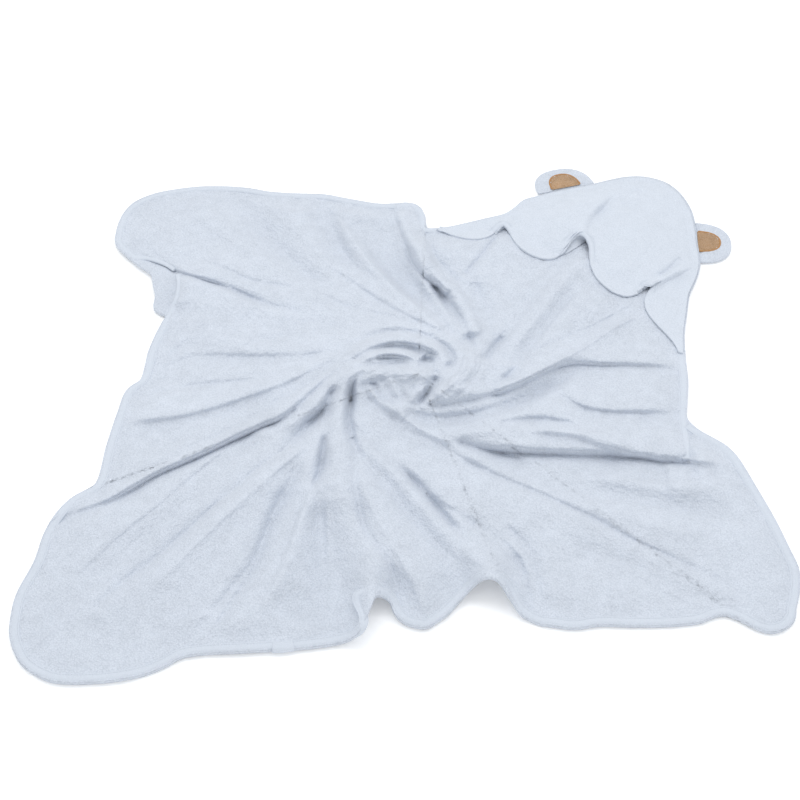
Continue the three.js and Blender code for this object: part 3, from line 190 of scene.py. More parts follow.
# the same cloth's main runs as plain relief: kind, height, width, second width, weight at the two ends, points
#  E  overlap: one side stands up (left +, right -) and falls off over the width   G  groove   V  valley   R  ridge   T  roll
RUNS = [
    # top: ridges and valleys that run down from the back hem
    ("E", -13, 34, 10, .25, 1, [(-64, 318), (-50, 300), (-35, 262), (-15, 230), (0, 200), (20, 175), (40, 152), (52, 128), (63, 111), (73, 99), (80, 86), (82, 70), (80, 54), (72, 40), (62, 22), (48, 6), (36, -6)]),
    ("R", 7, 12, 0, .2, .6, [(-92, 352), (-76, 325), (-60, 290), (-40, 250), (-14, 212), (12, 178), (38, 150), (52, 128)]),
    ("V", -10, 20, 0, .3, .2, [(-20, 350), (-24, 310), (-14, 270), (0, 240), (14, 208), (30, 178), (46, 150)]),
    ("T", 14, 14, 0, 1, .7, [(2, 378), (6, 352), (13, 322), (20, 292), (28, 262), (40, 236), (54, 212), (64, 190), (72, 168), (80, 142), (86, 120)]),
    ("G", -10, 3.2, 0, .15, .9, [(5, 330), (9, 290), (14, 252), (27, 228), (40, 209), (50, 194), (58, 176), (68, 156), (77, 130), (84, 106), (89, 90), (92, 72), (90, 54), (82, 36), (72, 24)]),
    ("G", -15, 5, 0, 0, 0, [(40, 208), (50, 192), (60, 180)]),
    ("R", 6, 9, 0, 0, .4, [(18, 262), (30, 215), (42, 185), (56, 155), (68, 130), (74, 108)]),
    ("E", -10, 26, 9, .8, .2, [(34, 316), (37, 290), (42, 262), (48, 240), (57, 222), (65, 206)]),
    ("E", 8, 20, 9, .1, .8, [(-100, 256), (-80, 232), (-60, 211), (-40, 191), (-20, 171), (0, 154), (15, 143), (30, 133), (50, 119), (62, 106)]),
    ("E", 4, 22, 10, .1, .6, [(-108, 196), (-84, 178), (-65, 167), (-40, 156), (-10, 148), (14, 138), (34, 128)]),
    ("V", -13, 17, 0, 1.15, .1, [(-246, 422), (-232, 395), (-219, 372), (-207, 348), (-192, 320), (-177, 293), (-160, 265), (-142, 238), (-124, 212), (-104, 190)]),
    ("V", -13, 15, 0, 1.1, .2, [(-106, 402), (-102, 376), (-99, 350), (-94, 322), (-87, 295), (-78, 268), (-66, 242), (-50, 218)]),
    ("R", 6, 22, 0, .5, .2, [(-160, 400), (-150, 360), (-134, 320), (-116, 280), (-100, 246), (-78, 216)]),
    ("R", 5, 30, 0, .4, .1, [(-290, 380), (-262, 340), (-230, 300), (-196, 262), (-160, 226), (-124, 192)]),
    ("G", -5, 6, 0, 1, 0, [(-255, 396), (-254, 380), (-252, 366)]),
    ("G", -4, 6, 0, 1, 0, [(-292, 390), (-287, 374), (-282, 360)]),
    ("G", -5, 6, 0, 1, 0, [(-170, 392), (-169, 378), (-167, 364)]),
    ("G", -6, 6, 0, 1, 0, [(-133, 390), (-139, 374), (-143, 358)]),
    ("G", -5, 7, 0, 1, 0, [(-62, 384), (-60, 372), (-56, 360)]),
    # back left corner lobe over the left side
    ("E", 9, 60, 12, 1.2, .15, [(-360, 262), (-343, 256), (-322, 254), (-301, 243), (-286, 232), (-262, 222), (-232, 209), (-212, 197), (-195, 187), (-178, 177), (-155, 167), (-128, 159), (-98, 150)]),
    ("G", -5, 3.5, 0, .3, 0, [(-214, 199), (-200, 190), (-182, 179), (-168, 172)]),
    ("G", -5, 3.5, 0, .8, .1, [(-326, 276), (-313, 262), (-300, 250), (-287, 235), (-276, 226)]),
    ("G", -2.5, 6, 0, .1, 0, [(-250, 243), (-226, 232), (-204, 219), (-190, 211), (-165, 206), (-140, 201)]),
    ("E", -8, 50, 14, 1, .3, [(-287, 140), (-285, 160), (-281, 185), (-281, 208), (-285, 229)]),
    # left side
    ("E", 4, 24, 10, .1, .8, [(-296, 44), (-280, 56), (-262, 68), (-247, 75), (-222, 76), (-190, 76), (-150, 76), (-120, 78), (-100, 81), (-80, 87), (-66, 95), (-56, 103)]),
    ("E", 6, 26, 11, 1, 0, [(-322, 8), (-300, 10), (-275, 17), (-252, 23), (-228, 28), (-200, 32), (-170, 36), (-146, 38)]),
    ("G", -3, 8, 0, .3, 0, [(-296, 40), (-288, 62), (-276, 84), (-262, 98)]),
    ("G", -2.5, 6, 0, 0, .2, [(-184, 94), (-165, 103), (-146, 108), (-131, 120), (-119, 134), (-106, 141), (-86, 135), (-66, 126), (-46, 118)]),
    ("R", 5, 22, 0, .2, .3, [(-300, -40), (-250, -30), (-200, -8), (-150, 16), (-110, 44), (-84, 66)]),
    ("R", 4, 20, 0, .1, .4, [(-270, 120), (-220, 108), (-160, 92), (-110, 98), (-70, 112)]),
    # long folds of the left and front left
    ("E", 6, 22, 10, .5, .7, [(-352, -142), (-334, -137), (-316, -128), (-298, -118), (-278, -104), (-258, -89), (-238, -74), (-218, -61), (-198, -46), (-178, -31), (-158, -14), (-140, 5), (-124, 18), (-110, 29), (-98, 40), (-86, 54), (-74, 70), (-62, 88), (-50, 101), (-34, 111)]),
    ("E", 15, 24, 10, .7, .8, [(-384, -192), (-362, -177), (-340, -166), (-320, -156), (-308, -147), (-290, -133), (-274, -120), (-258, -109), (-240, -98), (-220, -86), (-204, -75), (-188, -62), (-172, -52), (-158, -43), (-144, -35), (-133, -28), (-124, -15), (-114, -2), (-104, 12), (-92, 28), (-80, 44), (-66, 58), (-50, 70), (-32, 77)]),
    ("G", -9, 4.5, 0, .2, 0, [(-300, -140), (-270, -117), (-240, -98), (-205, -75), (-165, -47), (-140, -34), (-124, -17)]),
    ("V", -9, 17, 0, .2, .4, [(-330, -185), (-280, -146), (-230, -112), (-180, -76), (-140, -50)]),
    ("E", -7, 30, 9, .5, .3, [(-384, -362), (-372, -350), (-357, -332), (-336, -303), (-316, -276), (-300, -252), (-284, -231), (-265, -208), (-245, -184), (-225, -158), (-209, -134), (-196, -114), (-178, -90), (-162, -67), (-150, -46)]),
    ("V", -7, 13, 0, .2, .3, [(-312, -300), (-286, -267), (-266, -245), (-250, -226), (-234, -205), (-216, -181), (-200, -160), (-181, -139), (-164, -115), (-148, -94), (-130, -78)]),
    ("R", 6, 22, 0, .3, .3, [(-352, -290), (-320, -240), (-280, -190), (-240, -140), (-200, -92), (-166, -56)]),
    ("R", 8, 20, 0, .3, .4, [(-260, -300), (-236, -256), (-206, -204), (-176, -156), (-146, -112), (-120, -74)]),
    ("E", 12, 34, 10, .7, .5, [(-244, -386), (-228, -360), (-212, -341), (-200, -322), (-187, -298), (-172, -270), (-157, -244), (-148, -212), (-138, -178), (-128, -148), (-118, -116), (-110, -90), (-102, -66)]),
    ("G", -5, 3, 0, .8, .2, [(-252, -378), (-246, -366), (-240, -350), (-234, -334), (-226, -320), (-206, -306), (-188, -298)]),
    ("V", -8, 15, 0, .3, .4, [(-200, -330), (-176, -285), (-156, -248), (-146, -214), (-136, -178), (-126, -150), (-112, -118)]),
    ("R", 7, 16, 0, .4, .5, [(-150, -310), (-134, -262), (-122, -214), (-112, -170), (-104, -128), (-98, -92)]),
    # crevices beside the bunch, in front
    ("G", -22, 5.5, 0, .15, .1, [(-112, -46), (-104, -34), (-96, -24), (-90, -12), (-85, 0), (-79, 14), (-72, 30)]),
    ("G", -16, 10, 0, .2, 0, [(-132, -84), (-122, -62), (-108, -40), (-97, -26), (-90, -10)]),
    ("G", -24, 4.2, 0, .3, .3, [(-46, -92), (-52, -70), (-57, -46), (-59, -32), (-58, -14), (-57, 2), (-57, 20), (-54, 34), (-46, 46)]),
    ("G", -22, 3.6, 0, 0, .1, [(-97, -142), (-93, -126), (-89, -112), (-87, -94), (-86, -70), (-84, -48)]),
    ("R", 11, 13, 0, .3, .8, [(-74, -190), (-70, -150), (-70, -110), (-72, -70), (-71, -36), (-69, 0), (-62, 34), (-52, 56), (-34, 68)]),
    ("R", 9, 11, 0, .2, .7, [(-112, -120), (-104, -92), (-100, -62), (-94, -36), (-98, -20), (-84, 18), (-72, 44), (-58, 62)]),
    ("V", -12, 16, 0, .9, .3, [(-62, -310), (-64, -285), (-70, -258), (-77, -228), (-82, -196), (-87, -172), (-92, -150)]),
    ("E", 9, 24, 9, .9, .2, [(2, -318), (-3, -292), (-7, -268), (-12, -250), (-17, -236), (-24, -222), (-34, -210), (-41, -190), (-46, -168), (-50, -140), (-53, -110), (-52, -84)]),
    ("V", -9, 15, 0, .4, .3, [(66, -262), (54, -245), (40, -226), (30, -210), (18, -193), (8, -176), (-2, -158), (-12, -140), (-24, -120), (-33, -104), (-41, -86), (-47, -70)]),
    ("R", 9, 20, 0, .8, .2, [(22, -300), (12, -262), (-2, -226), (-16, -190), (-28, -156), (-38, -124), (-46, -98)]),
    ("R", 10, 18, 0, .9, .4, [(84, -250), (66, -222), (48, -196), (34, -170), (16, -142), (-4, -114), (-22, -88), (-36, -66)]),
    # the long crease down to the front arch
    ("E", 10, 40, 8, .3, .7, [(70, -214), (60, -196), (50, -180), (40, -164), (30, -148), (20, -132), (4, -111), (-10, -99), (-22, -84), (-35, -67), (-47, -54), (-54, -40)]),
    ("G", -16, 5, 0, 0, .1, [(66, -208), (52, -184), (40, -163), (30, -147), (18, -130), (2, -110)]),
    ("E", 8, 34, 7, 1, .3, [(131, -322), (127, -300), (125, -280), (124, -258), (121, -242), (116, -227), (107, -214), (95, -202), (80, -190), (65, -178), (50, -167), (38, -155)]),
    ("G", -24, 5.5, 0, .9, 0, [(128, -318), (126, -296), (125, -276), (123, -256), (120, -240), (113, -226)]),
    ("V", -11, 11, 0, 1, .2, [(126, -330), (124, -290), (122, -262), (116, -240), (98, -216), (80, -204)]),
    ("G", -6, 7, 0, .8, .1, [(146, -312), (144, -290), (142, -262), (139, -238), (133, -218), (125, -204), (118, -194)]),
    ("R", 5, 7, 0, .6, .1, [(136, -312), (135, -280), (133, -250), (128, -228), (118, -210)]),
    # right front lobe
    ("E", -6, 46, 9, .6, .7, [(372, -322), (364, -308), (352, -287), (336, -270), (315, -255), (290, -238), (268, -224), (240, -205), (212, -182), (186, -165), (166, -152), (150, -144), (124, -129), (100, -114), (76, -97), (56, -79), (42, -66), (26, -54), (12, -45), (0, -34)]),
    ("G", -3, 3.5, 0, .6, .3, [(366, -312), (352, -287), (336, -270), (315, -255), (290, -238), (268, -224), (240, -205), (212, -182), (186, -165), (150, -144), (100, -114), (76, -97)]),
    ("R", 6, 9, 0, .2, .8, [(110, -108), (78, -86), (56, -70), (36, -56), (18, -44), (4, -30)]),
    ("V", -5, 16, 0, .6, .1, [(300, -306), (284, -294), (264, -275), (240, -255), (218, -240), (192, -226), (164, -214)]),
    ("V", -6, 18, 0, .5, .3, [(392, -190), (352, -176), (300, -163), (250, -150), (204, -139), (160, -124), (122, -100)]),
    ("R", 8, 20, 0, .4, .2, [(362, -140), (330, -134), (296, -134), (262, -124), (236, -116), (200, -112)]),
    ("R", 4, 16, 0, .2, .2, [(330, -210), (280, -186), (230, -164), (190, -146)]),
    # upper layer over the right front lobe
    ("E", -17, 40, 12, 1.1, .5, [(348, -101), (326, -98), (312, -97), (296, -97), (280, -92), (250, -88), (200, -86), (150, -83), (128, -80), (110, -80), (96, -78), (80, -72), (62, -66)]),
    ("G", -8, 5, 0, .5, .4, [(318, -100), (296, -98), (280, -93), (250, -89), (200, -87), (150, -84), (110, -81), (94, -77), (70, -69)]),
    ("G", -9, 6, 0, 0, 0, [(330, -100), (310, -100), (292, -98)]),
    ("G", -5, 4, 0, 0, 0, [(98, -80), (120, -88), (140, -97)]),
    ("E", 14, 40, 12, 1, .9, [(330, -14), (331, -32), (330, -62), (327, -98)]),
    ("G", -4, 4.5, 0, .1, .1, [(146, -55), (170, -57), (192, -60), (204, -64), (218, -72), (242, -80)]),
    ("G", -5, 4, 0, 0, .4, [(212, -46), (198, -40), (182, -35), (165, -31), (130, -33), (102, -37), (76, -42)]),
    ("R", 7, 10, 0, 0, .5, [(250, -55), (200, -52), (160, -46), (120, -46), (80, -50), (56, -54)]),
    ("E", -5, 26, 12, .6, .1, [(342, -14), (318, -17), (290, -19), (258, -19), (232, -20), (206, -10), (188, 4)]),
    ("V", -5, 12, 0, .3, 0, [(330, -36), (308, -42), (286, -42), (266, -36)]),
    ("E", -9, 22, 9, 0, 1, [(214, 54), (200, 40), (186, 26), (160, 2), (130, -18), (100, -33), (72, -44), (50, -50)]),
    ("V", -13, 11, 0, .1, .7, [(205, 52), (186, 38), (164, 18), (142, 2), (116, -12), (88, -24), (60, -32), (34, -32), (12, -24)]),
    ("E", 11, 30, 9, .3, 1, [(326, 54), (300, 58), (272, 60), (240, 60), (212, 63), (196, 60), (180, 52), (165, 42), (150, 31), (131, 18), (110, 10), (90, 4), (70, -2), (50, -7), (34, -8), (16, -4)][::-1]),
    # right side, up to the hood
    ("E", 9, 30, 11, .6, .5, [(103, 68), (108, 82), (119, 99), (130, 112), (142, 132), (150, 150), (160, 170), (175, 197), (190, 220), (204, 244), (222, 274)][::-1]),
    ("G", -15, 5.5, 0, .1, .1, [(100, 62), (104, 71), (109, 82), (118, 96), (130, 112)]),
    ("V", -6, 13, 0, .2, .3, [(224, 214), (212, 192), (196, 164), (180, 136), (166, 112), (152, 86), (142, 62)]),
    ("R", 8, 15, 0, .5, .4, [(226, 250), (208, 220), (188, 186), (168, 152), (150, 122), (134, 94), (122, 68)]),
    ("G", -5, 4, 0, .3, .3, [(296, 166), (275, 156), (250, 135), (230, 116), (214, 101), (190, 90), (165, 76), (148, 62), (133, 46), (120, 31), (110, 20)]),
    ("G", -9, 4, 0, 0, 0, [(142, 58), (132, 45), (120, 31)]),
    ("E", 5, 20, 10, .3, .1, [(288, 182), (270, 161), (250, 146), (235, 133), (215, 121), (200, 107), (184, 98), (168, 87), (154, 74), (140, 56)]),
    ("R", 7, 17, 0, .4, .3, [(286, 140), (256, 118), (226, 92), (196, 72), (166, 52), (138, 34), (112, 22)]),
    ("V", -6, 16, 0, .8, 0, [(346, 66), (334, 52), (320, 40), (300, 30)]),
    ("E", 5, 26, 10, .6, 0, [(136, 312), (127, 298), (115, 280), (105, 260), (95, 245), (84, 226)]),
    ("V", -5, 10, 0, 0, .5, [(90, 215), (98, 182), (105, 150), (110, 120), (106, 96)]),
    ("R", 6, 12, 0, .1, .7, [(72, 206), (80, 180), (90, 150), (98, 120), (102, 92), (98, 66), (88, 44), (74, 24)]),
    # the bunch
    ("T", 10, 11, 0, .3, .5, [(86, 96), (87, 76), (84, 56), (76, 40), (64, 22), (50, 8)]),
    ("G", -8, 3.2, 0, .2, .2, [(-70, 57), (-60, 66), (-46, 76), (-30, 85), (-10, 90), (8, 89), (26, 82), (42, 76)]),
    ("G", -7, 2.8, 0, .2, .2, [(-68, 46), (-52, 57), (-35, 67), (-16, 72), (-4, 72)]),
    ("G", -8, 3.5, 0, .2, .2, [(-52, 52), (-38, 59), (-18, 62), (0, 64), (16, 60)]),
    ("G", -7, 3.5, 0, .1, .2, [(-48, 100), (-34, 111), (-14, 118), (4, 119), (22, 114), (40, 104), (56, 88), (64, 70), (60, 56), (52, 46)]),
    ("T", 7, 9, 0, .3, .3, [(-56, 80), (-38, 96), (-14, 105), (10, 105), (32, 97), (48, 84), (56, 68)]),
    ("T", 6, 7, 0, .3, .3, [(-48, 67), (-30, 78), (-10, 82), (8, 79), (22, 72)]),
    ("G", -12, 3.2, 0, .2, .1, [(43, 101), (52, 90), (59, 78), (63, 69), (60, 58), (54, 50)]),
    ("G", -14, 4, 0, 0, 0, [(24, 71), (30, 68), (36, 67), (42, 68)]),
    ("G", -24, 4.6, 0, .1, .1, [(46, 44), (41, 34), (36, 22), (31, 10), (25, 0), (19, -8)]),
    ("G", -18, 3.8, 0, .1, .1, [(-39, 37), (-31, 27), (-24, 14), (-18, 2), (-10, -3)]),
    ("V", -10, 7, 0, .1, .1, [(-26, 44), (-20, 30), (-14, 14), (-8, 2), (2, -4)]),
    ("G", -9, 3, 0, .2, .3, [(-46, 46), (-44, 32), (-41, 18), (-35, 3), (-27, -8), (-17, -18), (-6, -27), (8, -38), (20, -47)]),
    ("G", -8, 3.2, 0, .1, .1, [(-10, 46), (-6, 34), (0, 20), (4, 6), (4, -4)]),
    ("G", -8, 4, 0, .1, .1, [(20, 62), (32, 56), (40, 48), (44, 40)]),
    ("R", 7, 9, 0, .3, .3, [(-34, 30), (-28, 12), (-16, -8), (-2, -18), (14, -20)]),
    ("R", 6, 9, 0, .3, .3, [(4, 40), (14, 44), (26, 42), (34, 32), (30, 16)]),
    ("G", -6, 3, 0, .2, .2, [(4, 30), (14, 20), (26, 24), (34, 34), (30, 48), (16, 54), (2, 48)]),
]
RELIEF = {"E": 0.5, "G": 0.5, "V": 0.6, "R": 0.75, "T": 0.9}

# edges where one layer of the cloth lies over another: (weight at the two ends), rise (left +, right -), width above, width below, points
STEPS = [
    ((1.1, .2), -3.5, 42, 7, [(340, -100), (326, -98), (312, -97), (296, -97), (280, -92), (250, -88), (200, -86), (150, -83), (128, -80), (110, -80), (96, -78)]),
    ((.2, 1), 4.5, 40, 7, [(331, -16), (331, -32), (330, -62), (327, -96)]),
    ((1.2, .1), 6, 60, 7, [(-360, 262), (-343, 256), (-322, 254), (-301, 243), (-286, 232), (-262, 222), (-232, 209), (-212, 197)]),
    ((1, .3), -5, 45, 9, [(-287, 140), (-285, 160), (-281, 185), (-281, 208), (-285, 229)]),
    ((.3, .2), -6, 20, 5, [(-52, -70), (-57, -46), (-59, -32), (-58, -14), (-57, 2), (-57, 20), (-54, 34)]),
    ((.6, .3), 4, 22, 6, [(-384, -192), (-362, -177), (-340, -166), (-320, -156), (-308, -147), (-290, -133), (-274, -120)]),
]


def along(points, X, reach):
    """nearest point on a polyline: distance, side (+ left), share of the run.  Only for points of X within reach."""
    P = np.array(points, float)
    lo, hi = P.min(0) - reach, P.max(0) + reach
    idx = np.where((X[:, 0] > lo[0]) & (X[:, 0] < hi[0]) & (X[:, 1] > lo[1]) & (X[:, 1] < hi[1]))[0]
    Q = X[idx]
    seg = np.diff(P, axis=0)
    L = np.linalg.norm(seg, axis=1)
    S = np.concatenate([[0], np.cumsum(L)])
    best = np.full(len(Q), 1e9); side = np.zeros(len(Q)); run = np.zeros(len(Q)); beyond = np.zeros(len(Q))
    for i in range(len(seg)):
        d = Q - P[i]
        t = np.clip((d @ seg[i]) / (L[i] ** 2), 0, 1)
        e = d - t[:, None] * seg[i]
        r = np.hypot(e[:, 0], e[:, 1])
        m = r < best
        best[m] = r[m]
        cross = (seg[i, 0] * d[:, 1] - seg[i, 1] * d[:, 0]) / L[i]
        side[m] = np.clip(cross[m] / np.maximum(r[m], 0.01), -1, 1)
        past = (d @ seg[i]) / L[i]
        past = np.where((i == 0) & (past < 0), -past, np.where((i == len(seg) - 1) & (past > L[i]), past - L[i], 0))
        beyond[m] = past[m]
        run[m] = ((S[i] + t * L[i]) / S[-1])[m]
    return idx, best, side, run, beyond


def smoothstep(a, b, x):
    t = np.clip((x - a) / (b - a), 0, 1)
    return t * t * (3 - 2 * t)


def curve(points, closed, n, power=0.5):
    """centripetal Catmull-Rom through the points, resampled to n even steps"""
    P = np.array(points, float)
    if closed:
        P = np.concatenate([P[-1:], P, P[:2]])
    else:
        P = np.concatenate([2 * P[:1] - P[1:2], P, 2 * P[-1:] - P[-2:-1]])
    out = []
    for i in range(1, len(P) - 2):
        p0, p1, p2, p3 = P[i - 1], P[i], P[i + 1], P[i + 2]
        t0 = 0; t1 = t0 + np.linalg.norm(p1 - p0) ** power; t2 = t1 + np.linalg.norm(p2 - p1) ** power; t3 = t2 + np.linalg.norm(p3 - p2) ** power
        t = np.linspace(t1, t2, 24, endpoint=False)[:, None]
        A1 = (t1 - t) / (t1 - t0) * p0 + (t - t0) / (t1 - t0) * p1
        A2 = (t2 - t) / (t2 - t1) * p1 + (t - t1) / (t2 - t1) * p2
        A3 = (t3 - t) / (t3 - t2) * p2 + (t - t2) / (t3 - t2) * p3
        B1 = (t2 - t) / (t2 - t0) * A1 + (t - t0) / (t2 - t0) * A2
        B2 = (t3 - t) / (t3 - t1) * A2 + (t - t1) / (t3 - t1) * A3
        out.append((t2 - t) / (t2 - t1) * B1 + (t - t1) / (t2 - t1) * B2)
    C = np.concatenate(out)
    C = np.concatenate([C, C[:1] if closed else P[-2:-1]])
    s = np.concatenate([[0], np.cumsum(np.linalg.norm(np.diff(C, axis=0), axis=1))])
    q = np.linspace(0, s[-1], n, endpoint=not closed)
    return np.stack([np.interp(q, s, C[:, k]) for k in range(C.shape[1])], 1)


class Noise:
    """smooth value noise on a fixed lattice, seeded"""

    def __init__(self, seed):
        self.T = np.random.default_rng(seed).uniform(-1, 1, (64, 64))

    def __call__(self, x, y):
        xi, yi = np.floor(x).astype(int), np.floor(y).astype(int)
        fx, fy = x - xi, y - yi
        fx, fy = fx * fx * (3 - 2 * fx), fy * fy * (3 - 2 * fy)
        T = self.T
        a, b = T[xi % 64, yi % 64], T[(xi + 1) % 64, yi % 64]
        c, d = T[xi % 64, (yi + 1) % 64], T[(xi + 1) % 64, (yi + 1) % 64]
        return (a * (1 - fx) + b * fx) * (1 - fy) + (c * (1 - fx) + d * fx) * fy


N1, N2, N3, N4 = Noise(1), Noise(2), Noise(3), Noise(4)
RIM_LOOP = curve(RIM, True, 3072)


def fan_out(loop, least):
    """turn the loop's points about MID just enough that no stretch of it runs straight towards MID"""
    start = int(np.argmin(np.hypot(loop[:, 0] + 303, loop[:, 1] - 80)))
    P = np.roll(loop, -start, axis=0) - MID
    r = np.hypot(P[:, 0], P[:, 1])
    t = -np.unwrap(np.arctan2(P[:, 1], P[:, 0]))
    i = np.arange(len(t)) * least
    ahead = np.maximum.accumulate(t - i) + i
    behind = np.minimum.accumulate((t - i)[::-1])[::-1] + i
    t = (ahead + behind) / 2
    return np.roll(MID + np.stack([r * np.cos(-t), r * np.sin(-t)], 1), start, axis=0)


RIM_LOOP = fan_out(RIM_LOOP, 0.0005)
FLOOR_TOP = 3.6          # top of the cloth where it lies flat, mm


def rim_lift(X):
    """the two arches of the front rim, and the curled end of the lobe beside the smaller one"""
    z = np.zeros(len(X))
    for cx, w, a, y0 in ((95, 21, 30, -270), (-30, 17, 24, -285)):
        g = np.exp(-((X[:, 0] - cx) / w) ** 2) * smoothstep(-170, y0, X[:, 1])
        z += a * g
    return z


SWELL, GROOVE = 1.7, 1.1


def height(X):
    """height of the sheet's upper face over floor-plane points (mm)"""
    d = X - MID
    r = np.hypot(d[:, 0], d[:, 1])
    base = 10 + 8 * np.exp(-(r / 250) ** 2) + 22 * np.exp(-(r / 78) ** 2)
    z = base.copy()
    for (e0, e1), (wl, wr, wg), (hl, hr, hg), pts in FOLDS:
        idx, dist, side, run, past = along(curve(pts, False, 4 * len(pts)), X, 95)
        env = (e0 + (1 - e0) * smoothstep(0, 0.25, run)) * (e1 + (1 - e1) * smoothstep(0, 0.25, 1 - run)) * np.exp(-(past / 14) ** 2)
        left = 0.5 + 0.5 * np.where(past > 0, side, np.sign(side))
        step = 1 - np.exp(-dist / 4.0)
        bl, br, bg = np.exp(-(dist / wl) ** 1.6) * step * left, np.exp(-(dist / wr) ** 1.6) * step * (1 - left), np.exp(-(np.hypot(dist, 1.2) / (wg + 0.8)) ** 1.35)
        z[idx] += (hl * bl * wl + hr * br * wr) * env * SWELL / 40 - hg * bg * wg * env * GROOVE / 40
    for kind, A, w1, w2, e0, e1, pts in RUNS:
        reach = {"E": 2.6 * w1, "G": 5 * w1, "V": 2.4 * w1, "R": 2.4 * w1, "T": 1.2 * w1}[kind]
        idx, dist, side, run, past = along(curve(pts, False, 4 * len(pts)), X, reach)
        env = np.minimum(e0 + (1 - e0) * smoothstep(0, 0.22, run), e1 + (1 - e1) * smoothstep(0, 0.22, 1 - run)) * np.exp(-(past / (0.5 * w1 + 3)) ** 2)
        if kind == "E":
            up = 0.5 + 0.5 * np.where(past > 0, side, np.sign(side)) * np.sign(A)
            p = abs(A) * (up * (1 - np.exp(-dist / 5.0)) * np.exp(-(dist / w1) ** 1.6) - 0.3 * (1 - up) * (1 - np.exp(-dist / 2.5)) * np.exp(-(dist / w2) ** 1.5))
        elif kind == "G":
            p = A * np.exp(-(np.hypot(dist, 1.2) / (w1 + 1.0)) ** 1.4)
        elif kind == "T":
            p = A * np.sqrt(np.clip(1 - (dist / w1) ** 2, 0, 1))
        else:
            p = A * np.exp(-(dist / w1) ** 2)
        z[idx] += p * env * RELIEF[kind] * (1 + 0.7 * np.exp(-(r[idx] / 75) ** 2))
    for (e0, e1), rise, w1, w2, pts in STEPS:
        idx, dist, side, run, past = along(curve(pts, False, 4 * len(pts)), X, 2.6 * w1)
        env = np.minimum(e0 + (1 - e0) * smoothstep(0, 0.2, run), e1 + (1 - e1) * smoothstep(0, 0.2, 1 - run)) * np.exp(-(past / 8) ** 2)
        up = 0.5 + 0.5 * np.where(past > 0, side, np.sign(side)) * np.sign(rise)
        p = up * (1 - np.exp(-dist / 2.2)) * np.exp(-(dist / w1) ** 1.6) - (1 - up) * 0.25 * np.exp(-(dist / w2) ** 1.5)
        z[idx] += abs(rise) * p * env
    # gentle unevenness of limp cloth
    th = np.arctan2(d[:, 1], d[:, 0]) + 1.05 * (97 / np.maximum(r, 60)) ** 2.2
    u, v = r * np.cos(th), r * np.sin(th)
    z += 1.3 * N1(X[:, 0] / 47, X[:, 1] / 41) + 0.8 * N2(X[:, 0] / 21 + 9, X[:, 1] / 24)
    z += 0.7 * N3(30 + th * 9.0, r / 110) * smoothstep(40, 110, r)
    # flatter towards the rim
    z = FLOOR_TOP + (z - FLOOR_TOP)
    k = 2.2
    z = FLOOR_TOP - 0.6 + k * np.log1p(np.exp(np.clip((z - FLOOR_TOP) / k, -30, 30)))
    return z


def rim_distance(X):
    out = np.full(len(X), 1e9)
    P = RIM_LOOP[::4]
    for i in range(0, len(X), 20000):
        D = X[i:i + 20000, None, :] - P[None]
        out[i:i + 20000] = np.sqrt((D ** 2).sum(2).min(1))
    return out


def sheet_height(X, rd=None):
    if rd is None:
        rd = rim_distance(X)
    z = height(X)
    flat = smoothstep(0, 46, rd)                       # the bound rim lies down on the floor
    keep = np.maximum(flat, 0.30)
    z = FLOOR_TOP + 0.8 + (z - FLOOR_TOP - 0.8) * keep
    z = z + rim_lift(X)
    return np.maximum(z, FLOOR_TOP - 0.4)


# ------------------------------------------------------------------ mesh helpers
def mesh_object(name, verts, faces, smooth=True):
    me = bpy.data.meshes.new(name)
    verts = np.asarray(verts, np.float32)
    quads = [f for f in faces] if isinstance(faces, list) else faces
    faces = np.asarray(quads, np.int32) if not isinstance(quads, list) or len({len(f) for f in quads}) == 1 else None
    if faces is not None:
        n, k = faces.shape
        me.vertices.add(len(verts)); me.vertices.foreach_set("co", verts.ravel())
        me.loops.add(n * k); me.loops.foreach_set("vertex_index", faces.ravel())
        me.polygons.add(n); me.polygons.foreach_set("loop_start", np.arange(0, n * k, k, dtype=np.int32))
        me.update(calc_edges=True)
    else:
        me.from_pydata([tuple(v) for v in verts], [], [tuple(f) for f in quads]); me.update()
    me.validate()
    me.polygons.foreach_set("use_smooth", np.full(len(me.polygons), smooth))
    ob = bpy.data.objects.new(name, me)
    bpy.context.scene.collection.objects.link(ob)
    return ob


def triangles_out(verts, tris):
    """flip all triangles if the closed body's volume is negative"""
    a, b, c = verts[tris[:, 0]], verts[tris[:, 1]], verts[tris[:, 2]]
    return tris if np.einsum("ij,ij->i", a, np.cross(b, c)).sum() > 0 else tris[:, ::-1]


# ------------------------------------------------------------------ the sheet
def ring_plan():
    """(share of the way out, stations) for each ring from the rim to the middle"""
    out = []
    s = 1.0
    while s > 0.02:
        n = 1536 if s > 0.52 else 768 if s > 0.24 else 384 if s > 0.09 else 192
        out.append((s, n))
        s -= 0.0023 if s > 0.97 else 0.0046 if s > 0.3 else 0.0038
    return out


